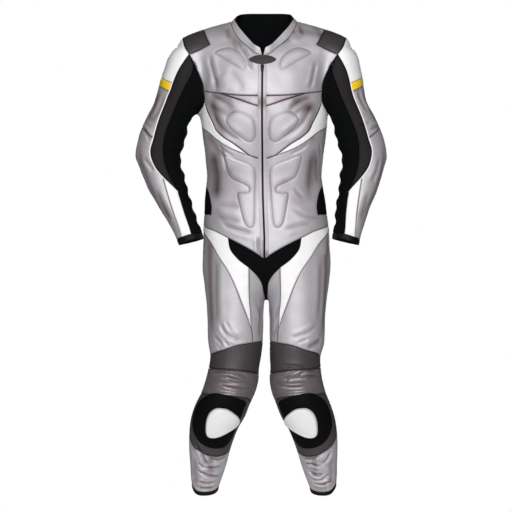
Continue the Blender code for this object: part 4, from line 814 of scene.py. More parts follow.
# Folds: troughs in the leather, each along places on the surface, with a soft ridge at each side.
# "side" is the wearer's left (1), right (-1) or both (0); "wide" is half the trough's width.
FOLD_COLUMNS = ("side", "wide", "deep", "seen from", "places across and up, or round and up")
FOLDS = [
    # chest: beside the armholes, from the collar, under the inset and round the rib pads
    (-1, 7, 3.5, "front", [(162, -90), (156, -123), (148, -153), (142, -180), (133, -204)]),
    (-1, 14, 4.0, "front", [(148, -160), (142, -185), (137, -214)]),
    (1, 6, 3.5, "front", [(159, -112), (153, -147), (147, -177), (138, -202)]),
    (-1, 5, 3.2, "front", [(63, -69), (45, -96), (36, -123), (24, -144)]),
    (-1, 5, 2.2, "front", [(96, -40), (88, -60), (78, -84)]),
    (-1, 14, 1.8, "front", [(102, -132), (66, -183), (57, -213)]),
    (-1, 5, 2.0, "front", [(76, -44), (58, -80), (45, -108)]),
    (-1, 6, 2.4, "front", [(114, -14), (106, -34), (98, -48)]),
    (1, 6, 2.4, "front", [(64, -26), (70, -46), (56, -66)]),
    (1, 9, 2.0, "front", [(84, -16), (98, -34), (120, -44)]),
    (-1, 10, 4.0, "front", [(166, -205), (120, -234), (81, -258)]),
    (1, 7, 3.5, "front", [(152, -220), (114, -234), (75, -264)]),
    (-1, 10, 3.4, "front", [(150, -258), (132, -300), (96, -336), (58, -354)]),
    (1, 9, 3.4, "front", [(146, -238), (131, -280), (108, -312), (56, -350)]),
    # belly
    (-1, 4, 2.8, "front", [(134, -360), (111, -384), (80, -402)]),
    (1, 4, 2.8, "front", [(140, -358), (114, -378), (80, -394)]),
    (-1, 24, 3.5, "front", [(156, -372), (140, -440), (141, -490), (150, -540)]),
    (1, 22, 3.5, "front", [(152, -380), (140, -450), (139, -500), (148, -545)]),
    (-1, 5, 2.5, "front", [(128, -368), (115, -408), (108, -448)]),
    (1, 5, 2.2, "front", [(167, -350), (170, -400), (168, -455)]),
    (-1, 7, 3.2, "front", [(134, -592), (108, -608), (66, -622), (28, -630)]),
    (-1, 8, 2.0, "front", [(144, -540), (104, -548), (62, -552)]),
    (-1, 8, 2.0, "front", [(148, -576), (108, -588), (66, -594)]),
    (1, 6, 2.2, "front", [(82, -556), (129, -578), (172, -584)]),
    (1, 7, 2.2, "front", [(56, -620), (96, -608), (148, -598)]),
    (1, 6, 1.8, "front", [(92, -494), (122, -524)]),
    (-1, 5, 4.0, "front", [(18, -636), (16, -668), (14, -704)]),
    # thighs
    (-1, 9, 3.0, "front", [(148, -690), (147, -800), (144, -915)]),
    (1, 9, 3.0, "front", [(168, -690), (166, -800), (160, -905)]),
    (-1, 6, 4.2, "front", [(136, -890), (118, -924), (88, -942), (62, -952)]),
    (-1, 5, 2.2, "front", [(120, -886), (100, -922), (66, -942)]),
    (-1, 5, 4.2, "front", [(154, -932), (140, -948), (124, -968)]),
    (-1, 4, 3.2, "front", [(148, -953), (130, -977)]),
    (-1, 4, 3.2, "front", [(122, -948), (106, -965)]),
    (1, 6, 2.8, "front", [(156, -898), (128, -924), (74, -943)]),
    (1, 5, 2.8, "front", [(150, -936), (113, -948), (96, -952)]),
    (1, 10, 6.0, "front", [(168, -944), (150, -958), (126, -970)]),
    (-1, 5, 2.8, "front", [(30, -820), (18, -864), (14, -905)]),
    (1, 6, 3.4, "front", [(44, -838), (27, -885)]),
    (1, 6, 3.4, "front", [(42, -886), (23, -936)]),
    # knees
    (-1, 5, 4.5, "front", [(158, -1041), (97, -1041), (73, -1048), (34, -1064)]),
    (-1, 4, 3.0, "front", [(114, -1052), (82, -1066), (40, -1071)]),
    (-1, 4, 3.6, "front", [(130, -1079), (82, -1090), (32, -1089)]),
    (1, 4, 3.6, "front", [(50, -1024), (90, -1024), (118, -1028), (154, -1040)]),
    (1, 4, 3.6, "front", [(102, -1058), (122, -1042), (160, -1037)]),
    (1, 4, 3.6, "front", [(36, -1076), (84, -1087), (136, -1082)]),
    (1, 5, 2.6, "front", [(66, -1070), (83, -1044), (110, -1028)]),
    (1, 4, 3.2, "front", [(120, -1052), (168, -1057)]),
    # shins
    (-1, 5, 6.5, "front", [(209, -1244), (187, -1278), (166, -1320), (148, -1331)]),
    (-1, 4, 5.0, "front", [(166, -1294), (132, -1306), (108, -1293)]),
    (-1, 4, 6.0, "front", [(200, -1314), (166, -1330), (122, -1322)]),
    (-1, 4, 7.0, "front", [(200, -1334), (172, -1350), (148, -1357), (128, -1354)]),
    (-1, 4, 5.5, "front", [(202, -1370), (164, -1378), (138, -1370)]),
    (-1, 4, 3.6, "front", [(200, -1390), (170, -1393), (142, -1386)]),
    (1, 4, 7.0, "front", [(120, -1315), (149, -1320), (177, -1328)]),
    (1, 4, 7.0, "front", [(136, -1340), (158, -1351), (184, -1350)]),
    (1, 4, 5.0, "front", [(118, -1298), (149, -1303), (186, -1281)]),
    (1, 4, 6.0, "front", [(144, -1372), (179, -1381), (210, -1366)]),
    (1, 5, 5.0, "front", [(174, -1320), (195, -1302), (204, -1280)]),
    (1, 4, 4.5, "front", [(140, -1360), (168, -1369), (202, -1348)]),
    # sleeves
    (-1, 5, 4.2, "front", [(351, -306), (341, -330), (329, -353)]),
    (-1, 4, 3.2, "front", [(347, -294), (326, -313)]),
    (-1, 6, 3.0, "front", [(352, -400), (338, -422), (322, -444)]),
    (-1, 8, 3.0, "front", [(288, -212), (307, -262), (334, -304)]),
    (-1, 7, 3.0, "front", [(322, -492), (303, -543), (282, -596)]),
    (1, 7, 4.2, "front", [(290, -192), (300, -225), (322, -266)]),
    (1, 5, 4.2, "front", [(325, -320), (340, -312), (354, -306)]),
    (1, 6, 3.0, "front", [(330, -296), (346, -280)]),
    (1, 6, 3.0, "front", [(356, -398), (344, -440), (324, -480)]),
    (1, 7, 2.6, "front", [(318, -500), (300, -545), (280, -596)]),
    # behind
    (0, 9, 3.5, "back", [(152, -462), (84, -488), (14, -482)]),
    (0, 9, 3.5, "back", [(148, -534), (72, -556), (10, -548)]),
    (0, 10, 3.0, "back", [(150, -120), (150, -160), (142, -208)]),
    (0, 9, 3.5, "back", [(150, -704), (92, -736), (34, -752)]),
    (0, 8, 3.0, "back", [(136, -880), (90, -910), (36, -900)]),
    (0, 8, 4.5, "arm", [(140, -328), (184, -346), (224, -338)]),
    (0, 8, 3.5, "arm", [(120, -372), (168, -384), (216, -366)]),
    (0, 7, 3.0, "arm", [(100, -560), (160, -574), (214, -566)]),
    (0, 6, 3.5, "leg", [(150, -1186), (190, -1200), (236, -1188)]),
    (0, 6, 3.5, "leg", [(124, -1298), (176, -1318), (226, -1306)]),
    (0, 6, 3.5, "leg", [(118, -1346), (170, -1354), (218, -1340)]),
    (-1, 8, 3.2, "back", [(146, -424), (104, -440), (50, -430)]),
    (1, 8, 3.0, "back", [(150, -404), (112, -398), (66, -410)]),
    (1, 7, 3.2, "back", [(150, -502), (104, -520), (44, -512)]),
    (-1, 7, 2.8, "back", [(146, -588), (96, -580), (44, -590)]),
    (1, 9, 3.0, "back", [(156, -250), (124, -286), (80, -304)]),
    (-1, 9, 3.0, "back", [(160, -276), (132, -318), (92, -344)]),
    (-1, 8, 3.2, "back", [(150, -752), (112, -786), (66, -800)]),
    (1, 8, 3.2, "back", [(150, -724), (106, -768), (56, -786)]),
    (-1, 8, 3.0, "back", [(146, -940), (96, -956), (40, -944)]),
]


def fold_line(seen, places, step=5.0):
    """A fold's places joined by a smooth curve on the surface."""
    line = settle(spline(np.array([find_place((seen, *p)) for p in places]), 12))
    return along(line, max(4, round(length_of(line) / step)))


def drawn(table):
    """A table's strokes as (side, wide, deep, line, its length)."""
    lines = [(row, fold_line(*row[3:])) for row in table]
    return [(*row[:3], line, length_of(line)) for row, line in lines]


CREASES = drawn(FOLDS)

# Painted shade on the silver, as broad strokes where it turns away from the light and in hollows: how dark,
# and along which places.
SIDE_SHADE_COLUMNS = ("side", "wide", "dark", "seen from", "places across and up")
SIDE_SHADE_STROKES = drawn([
    (-1, 15, 0.5, "front", [(150, -205), (144, -260), (126, -320), (106, -360)]),
    (-1, 13, 0.5, "front", [(168, -322), (140, -366), (104, -404)]),
    (-1, 26, 0.5, "front", [(158, -370), (146, -450), (140, -540)]),
    (-1, 22, 0.3, "front", [(104, -410), (84, -480), (76, -560)]),
    (-1, 18, 0.2, "front", [(150, -560), (110, -590), (60, -606)]),
    (1, 16, 0.45, "front", [(80, -232), (122, -246), (154, -250)]),
    (1, 13, 0.4, "front", [(158, -240), (142, -295), (146, -340), (158, -366)]),
    (1, 8, 0.4, "front", [(160, -390), (158, -440), (160, -485)]),
    (1, 20, 0.35, "front", [(156, -360), (146, -430), (136, -510)]),
    (1, 24, 0.3, "front", [(50, -460), (84, -500), (100, -560)]),
    (0, 12, 0.35, "front", [(150, -216), (90, -226), (10, -234)]),
    (0, 12, 0.35, "front", [(166, -240), (120, -262), (60, -262)]),
    (0, 12, 0.2, "front", [(40, -230), (20, -290), (18, -400), (18, -560)]),
    (1, 12, 0.35, "front", [(60, -10), (100, -24), (150, -30), (210, -56)]),
    (-1, 9, 0.25, "front", [(120, -8), (92, -40), (60, -76)]),
    (-1, 17, 0.6, "front", [(172, -590), (166, -680), (162, -780), (158, -900), (150, -960)]),
    (1, 13, 0.6, "front", [(184, -600), (180, -700), (177, -800), (171, -900), (160, -960)]),
    (0, 8, 0.45, "front", [(14, -830), (18, -890), (20, -950)]),
    (-1, 14, 0.6, "front", [(302, -196), (318, -250), (338, -306)]),
    (-1, 12, 0.55, "front", [(356, -336), (362, -384), (350, -444), (330, -500), (294, -573), (266, -640)]),
    (1, 10, 0.6, "front", [(306, -196), (326, -256), (350, -306)]),
    (1, 10, 0.5, "front", [(362, -340), (366, -384), (356, -442), (335, -500), (301, -560), (272, -634)]),
    (0, 8, 0.4, "front", [(204, -1290), (202, -1395)]),
    (0, 9, 0.4, "front", [(128, -1310), (136, -1392)]),
    (0, 14, 0.35, "front", [(150, -1385), (196, -1388)]),
    (-1, 22, 0.2, "front", [(150, -12), (112, -30), (76, -62), (52, -92)]),
    (1, 7, 0.45, "front", [(104, 0), (110, -20), (120, -44)]),
    (1, 7, 0.35, "front", [(66, -18), (78, -42), (74, -66)]),
    (1, 9, 0.35, "front", [(146, -8), (166, -26), (178, -52)]),
    (0, 13, 0.4, "front", [(8, -196), (6, -240), (8, -290)]),
    (0, 22, 0.3, "back", [(150, -470), (84, -486), (6, -480)]),
    (0, 20, 0.25, "back", [(150, -700), (90, -760), (10, -780)]),
    (0, 16, 0.3, "back", [(166, -130), (152, -200), (150, -300)]),
    (0, 16, 0.25, "back", [(60, -860), (50, -980)]),
])


def strokes(points, side, table, bell):
    """The sum over a table's strokes of their depth times bell(distance / width), fading out at
    both ends of each."""
    total = np.zeros(len(points))
    for on, wide, deep, line, long in table:
        reach = 3.2 * wide
        close = ((points > line.min(axis=0) - reach) & (points < line.max(axis=0) + reach)).all(axis=1)
        if on not in (0, side) or not close.any():
            continue
        far, run = near_edge(points[close], line, closed=False)
        u = run / long
        total[close] += deep * smooth_step(u * 4) * smooth_step((1 - u) * 4) * bell(far / wide)
    return total


def fold_relief(points, side):
    """Height of the folds: each a bell-shaped trough with a lower ridge at either side."""
    return -strokes(points, side, CREASES, lambda f: np.exp(-1.4 * f**1.3) - 0.5 * np.exp(-((f - 2) ** 2)))


def painted_side_shade(points, side):
    """How much painted shade the silver gets: the strokes with round edges, added up."""
    return strokes(points, side, SIDE_SHADE_STROKES, lambda f: np.exp(-(f**2)))


def slack(points, side):
    """The uneven lie of soft leather: three slow waves that cross."""
    x, y, z = points[:, 0] * side, points[:, 1], points[:, 2]
    return (0.7 * np.sin(x / 23 + 1.3 * np.sin(z / 41 + 0.7 * side)) * np.sin(z / 31 + y / 37)
            + 0.5 * np.sin((x + z) / 17 + y / 21 + 1.1 * side) * np.sin((z - x) / 29))


def seam_relief(seam, run):
    """A groove at a seam, and beside it the small puckers that its stitches draw up."""
    pucker = 0.35 * np.exp(-seam / 9) * np.sin(run / 2.7 + 3 * np.sin(run / 61)) * smooth_step(seam / 3)
    return pucker - 1.3 * np.exp(-((seam / 1.9) ** 2))


# Pads: foam under the leather, held by two rows of stitching round each.
PAD_SLOPE, PAD_RISE = 8.0, 3.2
PAD_ROWS = (-2.0, 0.0, 2.0, 4.5, 7.0, 9.0, 11.0)  # rows of points in from a pad's outline


def pad_relief(points, outlines):
    """Rise of the pads over the leather, the stitched grooves at the foot and the top of the side, and how
    strongly painted shade marks those grooves.
    """
    height, line = np.zeros(len(points)), np.zeros(len(points))
    for outline in outlines:
        q = in_blocks(lambda p: edge_distance(p, outline), points[:, ::2], 2000)
        height += PAD_RISE * smooth_step(q / PAD_SLOPE)
        line += np.exp(-((q / 1.6) ** 2)) + 0.7 * np.exp(-(((q - PAD_SLOPE - 1) / 1.6) ** 2))
    return height - 0.9 * line, line


def places_of(route):
    """An outline written as place, seam, place, seam ... back to the first place, as (seam, start, end)."""
    words = route.split()
    ends = words[::2] + words[:1]
    return [(seam, a, b) for seam, a, b in zip(words[1::2], ends, ends[1:])]


def loop_of(sides):
    """The stretches of seam round a piece as one closed outline."""
    return np.concatenate([chain(*side)[:-1] for side in sides])


def both_halves(sides):
    """A loop over the centre, from half of it between two places on the centre."""
    half = np.concatenate([chain(*side)[:-1] for side in sides] + [chain(*sides[-1])[-1:]])
    first = 1 if abs(half[0, 0]) < 1e-6 else 0
    return np.concatenate([half, (half * (-1, 1, 1))[first:-1][::-1]])


def by_half(effect, points, side):
    """An effect with a table for each half, on a piece of the left (1), of the right (-1) or of both (0)."""
    if side:
        return effect(points * (side, 1, 1), side)
    return np.where(points[:, 0] < 0, effect(points * (-1, 1, 1), -1), effect(points, 1))


def finished_panel(name, points, normals, tris, flat, loop, material, node, pads):
    """One cut piece: relief on the surface, painted shade in its colour, the hang of the suit, a thin shell,
    and its cut size.
    """
    side = {"_left": 1, "right": -1}.get(name[-5:], 0)
    seam, run = near_edge(points, loop)
    folds = by_half(fold_relief, points, side) * smooth_step(seam / 2 + 0.4)
    lift = seam_relief(seam, run) + slack(points, side or 1) * smooth_step(seam / 36) + folds
    # Painted shade: darker along each seam, in the troughs of the folds, in the pad grooves and, on silver,
    # in the broad side strokes.
    painted_shade = 0.85 * np.exp(-((seam / 2.0) ** 2)) + np.clip(-folds / 9, 0, 0.5)
    if material == SILVER:
        painted_shade += by_half(painted_side_shade, points, side)
    if pads:
        rise, line = pad_relief(points * (side, 1, 1), pads)
        lift, painted_shade = lift + rise, painted_shade + 0.3 * line
    attributes = {"painted_shade": np.clip(painted_shade, 0, 0.9)}
    shape = posed(points + lift[:, None] * normals)
    area = surface_area(shape, tris) * MM**2
    made = add_mesh(name, shape, tris, material, attributes=attributes, cut=flat, turn=180)
    wall = made.modifiers.new("wall", "SOLIDIFY")
    wall.thickness, wall.offset, wall.use_rim = 0.0016, -1, True
    made.data.materials.append(LINING)
    wall.material_offset = wall.material_offset_rim = 1
    wide, long = cut_size(flat[: len(loop)] * MM, area)
    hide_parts(node)
    return made


def sew(name, chart, material, route, pads=(), step=4.2, rows=(1.4, 3.2)):
    """The wearer's left piece and the right one, which is its mirror image but for its folds."""
    loop = loop_of(places_of(route))
    outlines = [round_outline(pad, 5.0) for pad in pads]
    dots = [row for pad in outlines for by in PAD_ROWS for row in grown(pad, by)]
    dots = np.array([find_place(("front", x, z)) for x, z in dots])
    points, normals, tris, flat = surface_patch(loop, chart, step, rows, dots)
    finished_panel(name + "_shell_left", points, normals, tris, flat, loop, material, name + "_left",
                   outlines)
    mirror = np.array([-1, 1, 1])
    finished_panel(name + "_shell_right", points * mirror, normals * mirror, tris[:, ::-1], flat * (-1, 1),
                   loop * mirror, material, name + "_right", outlines)


def grown(ring, by):
    """A closed outline moved in by a distance, square to its own run, without what would cross over."""
    ahead = np.roll(ring, -1, axis=0) - np.roll(ring, 1, axis=0)
    side = unit(np.stack([-ahead[:, 1], ahead[:, 0]], axis=1))
    moved = ring + by * np.sign(turn_area(ring)) * side
    return moved[np.abs(edge_distance(moved, ring)) > 0.93 * abs(by) - 0.01]


CHEST_PAD = [(145, -88), (122, -76), (100, -74), (77, -84), (58, -102), (50, -122), (56, -139), (72, -135),
             (102, -116), (128, -101)]
sew("front_yoke", "trunk", SILVER,
    "chest_zip zip_edge neck_front neckline neck_side shoulder shoulder patch_neck patch_in patch_front "
    "patch_out armhole chest_arm chest chest_tip chest_high",
    pads=[CHEST_PAD], rows=(1.4, 3.2, 7, 11, 15, 19, 23))

# ---- chest and ribs ----------------------------------------------------------------------------
# Shaped silver panels below the yoke: a narrow inset, then a panel over the ribs with a raised
# pad on each side of the zip.
RIB_PAD = [(108, -290), (97, -273), (78, -266), (46, -277), (27, -291), (20, -316), (21, -342), (32, -356),
           (48, -354), (76, -333), (99, -311)]
sew("chest_inset", "trunk", SILVER,
    "chest_tip chest_high chest_zip zip_edge inset_zip chest_low")
sew("rib_panel", "trunk", SILVER,
    "rib_zip zip_edge inset_zip chest_low chest_tip chest chest_arm armhole flash_arm flash_high "
    "flash_tip rib", pads=[RIB_PAD], rows=(1.4, 3.2, 7, 11, 15))

# ---- side flashes ------------------------------------------------------------------------------
# A white leather wedge at each side, from under the arm to the front of the belly, where its point
# meets the zip panels. It is sewn in flat, with a thin black piping along its upper edge.
WHITE = covering("white_leather", (0.92, 0.92, 0.92), 0.45, dark=0.5)
sew("side_flash", "trunk", WHITE,
    "flash_tip flash_high flash_arm armhole armpit side_high flash_side flash_low")

# ---- belly -------------------------------------------------------------------------------------
# The long silver panels down to the hips, each with one long pad under it. At each side of the
# waist they are sewn to an inset of black ribbed stretch, which lets the suit bend.
STRETCH = covering("black_stretch", (0.004, 0.0048, 0.005), 0.75, knitted=2.0, specular=0.04)
BELLY_PAD = [(114, -396), (107, -438), (95, -462), (70, -476), (45, -489), (42, -502), (58, -506), (76, -510),
             (71, -545), (61, -590), (50, -609), (34, -611), (26, -590), (22, -505), (21, -448), (36, -426),
             (72, -411)]
sew("belly_panel", "trunk", SILVER,
    "hip_zip zip_edge rib_zip rib flash_tip flash_low flash_side side_high inset_top inset_front "
    "inset_front inset_foot inset_side side_low hip_side hip", pads=[BELLY_PAD])
sew("side_stretch", "trunk", STRETCH,
    "inset_top inset_front inset_front inset_foot inset_rear inset_rear")

# ---- shoulders ---------------------------------------------------------------------------------
# Dark grey leather patches over the ends of the shoulders, sewn down on all four sides. The
# sleeves are set in along their outer edge.
GREY = covering("grey_leather", (0.05, 0.041, 0.043), 0.5, dark=0.9, specular=0.35)
sew("shoulder_patch", "trunk", GREY,
    "patch_rear_in patch_neck patch_in patch_front patch_out patch_arm patch_rear_out patch_back")

# ---- sleeves -----------------------------------------------------------------------------------
# White sleeve head, yellow band, silver upper and lower sleeve, a dark strip down the front, a
# white flash to the cuff, and gathered stretch along the inside of the arm.
YELLOW = covering("yellow_leather", (1.0, 0.68, 0.015), 0.45, dark=0.5)
DARK = covering("grey_leather_sleeve", (0.017, 0.0145, 0.0155), 0.5, specular=0.05)
sew("sleeve_cap", "arm", WHITE,
    "patch_rear_out patch_arm patch_out piped band_front band_top band_rear sleeve_rear "
    "sleeve_rear armhole")
sew("sleeve_band", "arm", YELLOW,
    "band_rear band_top band_front piped band_low band_foot band_low_rear sleeve_rear")
sew("upper_sleeve", "arm", SILVER,
    "band_low_rear band_foot band_low piped elbow_front elbow elbow_rear sleeve_rear")
sew("forearm", "arm", SILVER,
    "elbow_rear elbow elbow_front piped white_tip white_out cuff_outer cuff_over cuff_rear sleeve_rear")
sew("forearm_flash", "arm", WHITE,
    "white_tip piped strip_end white_in cuff_inner cuff_white cuff_outer white_out")
sew("sleeve_strip", "arm", DARK, "strip_end piped patch_out strip")
sew("sleeve_stretch", "arm", STRETCH,
    "strip_end strip patch_out armhole sleeve_rear sleeve_rear cuff_rear cuff_under cuff_inner white_in")

# ---- legs --------------------------------------------------------------------------------------
# White flashes from the hips, silver fronts and backs, and at each knee three dark pieces: a
# plain one, a ribbed stretch one and the one that carries the slider. Then the shin and the calf.
SATIN = covering("grey_leather_knee", (0.19, 0.165, 0.175), 0.42, 0.45, dark=0.95)
sew("thigh_flash", "leg", WHITE,
    "hip_vee hip hip_side thigh_high thigh_tip thigh_low gusset_turn gusset")
sew("thigh_front", "leg", SILVER,
    "hip_side hip hip_rear leg_outer knee_outer knee_top knee_in thigh_high")
sew("thigh_back", "leg", SILVER,
    "crotch seat hip_rear leg_outer knee_outer knee_rear knee_inner knee_top knee_in thigh_high "
    "thigh_tip thigh_low gusset_turn gusset", step=6.5)
sew("knee_top", "leg", GREY,
    "knee_outer knee_top knee_inner leg_inner stretch_inner stretch_top stretch_outer leg_outer")
sew("knee_stretch", "leg", SATIN,
    "stretch_outer stretch_top stretch_inner leg_inner guard_inner guard_top guard_outer leg_outer", step=3.6)
sew("knee_surround", "leg", GREY,
    "guard_outer guard_top guard_inner leg_inner shin_inner shin_top shin_outer leg_outer")
sew("shin", "leg", SILVER,
    "shin_outer shin_top shin_inner leg_inner hem_inner hem_front hem_outer leg_outer", step=3.6)
sew("calf", "leg", SILVER,
    "knee_inner knee_rear knee_outer leg_outer hem_outer hem_rear hem_inner leg_inner", step=6.5)

# ---- back and seat -----------------------------------------------------------------------------
# One silver panel over the whole back, one over the seat, and a gusset of black stretch between
# the legs. Each is cut in one over the centre and sewn to both sides.


def sew_centre(name, chart, material, route, step=6.5, rows=(1.4, 3.2)):
    """A piece that crosses the centre: its route is one half, from the centre round to the centre."""
    words = route.split()
    sides = [(words[i], words[i - 1], words[i + 1]) for i in range(1, len(words), 2)]
    loop = both_halves(sides)
    points, normals, tris, flat = surface_patch(loop, chart, step, rows)
    finished_panel(name + "_shell", points, normals, tris, flat, loop, material, name, ())


sew_centre("back_panel", "trunk", SILVER,
           "neck_back neckline neck_side shoulder shoulder patch_neck patch_rear_in patch_back "
           "patch_rear_out armhole armpit side_high inset_top inset_rear inset_rear inset_foot inset_side "
           "side_low hip_side hip hip_back", rows=(1.4, 3.2, 8, 13, 18, 23))
sew_centre("seat_panel", "saddle", SILVER,
           "hip_back hip hip_rear seat crotch crotch crotch_mid")
sew_centre("crotch_gusset", "saddle", STRETCH,
           "hip_zip hip hip_vee gusset crotch crotch crotch_mid")

# ---- piping ------------------------------------------------------------------------------------
# Leather-covered cord sewn into the seams: white and black side by side down the front of each
# sleeve and black round the armholes, the shoulder patches and the side flashes.
BLACK = covering("black_leather", (0.004, 0.0045, 0.005), 0.5, size=1.0, specular=0.12)


def tube(line, radius, sides=8):
    """The round sections of a tube along a line, with a radius for each place on it."""
    ahead = unit(np.gradient(line, axis=0))
    across = unit(np.cross(ahead, normal(line)))
    out = np.cross(across, ahead)
    turn = np.linspace(0, 2 * np.pi, sides, endpoint=False)[None, :, None]
    round_it = np.cos(turn) * across[:, None] + np.sin(turn) * out[:, None]
    return line[:, None] + radius[:, None, None] * round_it


def skin(sections, closed_run=False):
    """Triangles round and along a stack of like closed sections, with a fan at each end or, in a
    closed run, the last joined to the first."""
    rows, size, _ = sections.shape
    i, k = np.meshgrid(np.arange(rows if closed_run else rows - 1), np.arange(size), indexing="ij")
    i, k, j, m = i.ravel(), k.ravel(), ((i + 1) % rows).ravel(), ((k + 1) % size).ravel()
    a, b, c, d = i * size + k, i * size + m, j * size + m, j * size + k
    tris = np.concatenate([np.stack([a, b, c], axis=1), np.stack([a, c, d], axis=1)])
    points = sections.reshape(-1, 3)
    if not closed_run:
        hub = len(points)
        points = np.concatenate([points, sections[:1].mean(axis=1), sections[-1:].mean(axis=1)])
        k, m = np.arange(size), (np.arange(size) + 1) % size
        last = (rows - 1) * size
        tris = np.concatenate([tris, np.stack([m, k, 0 * k + hub], axis=1),
                               np.stack([last + k, last + m, 0 * k + hub + 1], axis=1)])
    a, b, c = points[tris[:, 0]], points[tris[:, 1]], points[tris[:, 2]]
    return points, tris if (a * np.cross(b, c)).sum() > 0 else tris[:, ::-1]


def pair(name, points, tris, material, replaces=None, attributes=()):
    """The wearer's left piece and its mirror image."""
    made = []
    for side, end, faces in ((1, "_left", tris), (-1, "_right", tris[:, ::-1])):
        one = add_mesh(name + end, posed(points * (side, 1, 1)), faces, material, attributes=attributes)
        if replaces:
            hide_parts(replaces + end)
        made.append(one)
    return made


def piping(name, sides, radius, material, lift=0.3, shift=0.0):
    """A cord along a chain of seams, set `lift` above the seam and `shift` to one side of it."""
    parts = [chain(*side) for side in sides]
    line = np.concatenate([parts[0]] + [p[1:] for p in parts[1:]])
    across = unit(np.cross(np.gradient(line, axis=0), normal(line)))
    line = settle(line + shift * across, 2)
    u = np.linspace(0, 1, len(line))
    taper = 0.35 + 0.65 * np.minimum(1, 12 * np.minimum(u, 1 - u))
    points, tris = skin(tube(line + lift * normal(line), radius * taper))
    pair(name, points, tris, material)


piping("sleeve_piping_white", [("piped", "patch_out", "strip_end")], 1.9, WHITE,
       shift=-1.8, lift=0.6)
piping("sleeve_piping_black", [("piped", "patch_out", "strip_end")], 1.6, BLACK,
       shift=1.6, lift=0.4)
piping("armhole_piping", [("armhole", "patch_out", "armpit")], 1.5, BLACK)
piping("patch_piping", [("patch_arm", "patch_rear_out", "patch_out")], 1.5, BLACK)
piping("flash_piping", [("flash_high", "flash_arm", "flash_tip")], 0.9, BLACK)

# ---- stitching ---------------------------------------------------------------------------------
# Rows of bonded polyester thread beside the seams: grey on the silver, white on the white leather
# and black on the dark pieces.
STITCH_APART = 4.3
STITCH = np.array([(x, y, z) for z, k in ((-0.3, 1.0), (0.42, 0.7)) for x, y in
                   ((-1.5 * k, -0.36 * k), (1.5 * k, -0.36 * k), (1.5 * k, 0.36 * k), (-1.5 * k, 0.36 * k))])
BOX = np.array([(0, 2, 1), (0, 3, 2), (4, 5, 6), (4, 6, 7), (0, 1, 5), (0, 5, 4), (1, 2, 6), (1, 6, 5),
                (2, 3, 7), (2, 7, 6), (3, 0, 4), (3, 4, 7)])


def boxes(corners):
    """The faces of as many boxes as there are sets of eight corners."""
    return (BOX + 8 * np.arange(len(corners))[:, None, None]).reshape(-1, 3)


def stitch_row(side, seam, start, end, by):
    """Corners of the stitches beside a seam: low bars at even steps, on the leather's own relief."""
    line = chain(seam, start, end)
    line = along(line, max(2, int(length_of(line) / STITCH_APART)))
    across = unit(np.cross(np.gradient(line, axis=0), normal(line)))
    line = settle(line + by * across, 2)[2:-3]
    out, ahead = normal(line), unit(np.gradient(line, axis=0))
    across = np.cross(ahead, out)
    lift = 0.1 + fold_relief(line, side)
    x, y, z = (STITCH[None, :, k, None] for k in range(3))
    bars = line[:, None] + x * ahead[:, None] + y * across[:, None] + (z + lift[:, None, None]) * out[:, None]
    return bars * (side, 1, 1)


def stitching(name, material, rows):
    """Rows as seam, start, end and the distances from the seam, to its one side or to both."""
    for side, end in ((1, "_left"), (-1, "_right")):
        corners = np.concatenate([stitch_row(side, *row[:3], by) for row in rows for by in row[3:]])
        tris = boxes(corners)[:, ::side]
        add_mesh(name + end, posed(corners.reshape(-1, 3)), tris, material, turn=0)


THREAD = covering("grey_thread", (0.2, 0.19, 0.2), 0.6, depth=0.0)
stitching("grey_stitching", THREAD, [
    ("chest_high", "chest_tip", "chest_zip", 3), ("chest_low", "chest_tip", "inset_zip", -3),
    ("flash_high", "flash_arm", "flash_tip", 3), ("flash_low", "flash_side", "flash_tip", -3),
    ("rib", "flash_tip", "rib_zip", 3, -3), ("hip", "hip_side", "hip_zip", 3),
    ("thigh_high", "hip_side", "knee_in", -3), ("thigh_low", "gusset_turn", "thigh_tip", 3),
    ("patch_front", "patch_in", "patch_out", 3), ("patch_neck", "patch_in", "patch_rear_in", -3),
    ("patch_back", "patch_rear_in", "patch_rear_out", -3), ("armhole", "patch_out", "flash_arm", 4),
    ("shoulder", "neck_side", "shoulder", 3, -3), ("white_out", "white_tip", "cuff_outer", -3),
    ("elbow", "elbow_front", "elbow_rear", 3, -3), ("knee_top", "knee_outer", "knee_in", 3),
    ("shin_top", "shin_outer", "shin_inner", -3), ("hip", "hip_side", "hip_back", 3, -3),
    ("seat", "hip_rear", "crotch", 3, -3), ("knee_rear", "knee_outer", "knee_inner", 3, -3),
    ("leg_outer", "hip_rear", "knee_outer", 3), ("leg_outer", "shin_outer", "hem_outer", 3, -3),
    ("sleeve_rear", "band_low_rear", "elbow_rear", 3), ("sleeve_rear", "elbow_rear", "cuff_rear", 3),
])
stitching("white_stitching", WHITE, [
    ("gusset", "hip_vee", "gusset_turn", -3), ("flash_high", "flash_arm", "flash_tip", -3),
    ("flash_low", "flash_side", "flash_tip", 3), ("thigh_high", "hip_side", "thigh_tip", 3),
    ("thigh_low", "gusset_turn", "thigh_tip", -3), ("band_top", "band_front", "band_rear", 3),
])
stitching("black_stitching", BLACK, [
    ("patch_front", "patch_in", "patch_out", -3), ("patch_neck", "patch_in", "patch_rear_in", 3),
    ("stretch_top", "stretch_outer", "stretch_inner", 3, -3),
    ("guard_top", "guard_outer", "guard_inner", 3), ("shin_top", "shin_outer", "shin_inner", 3),
])

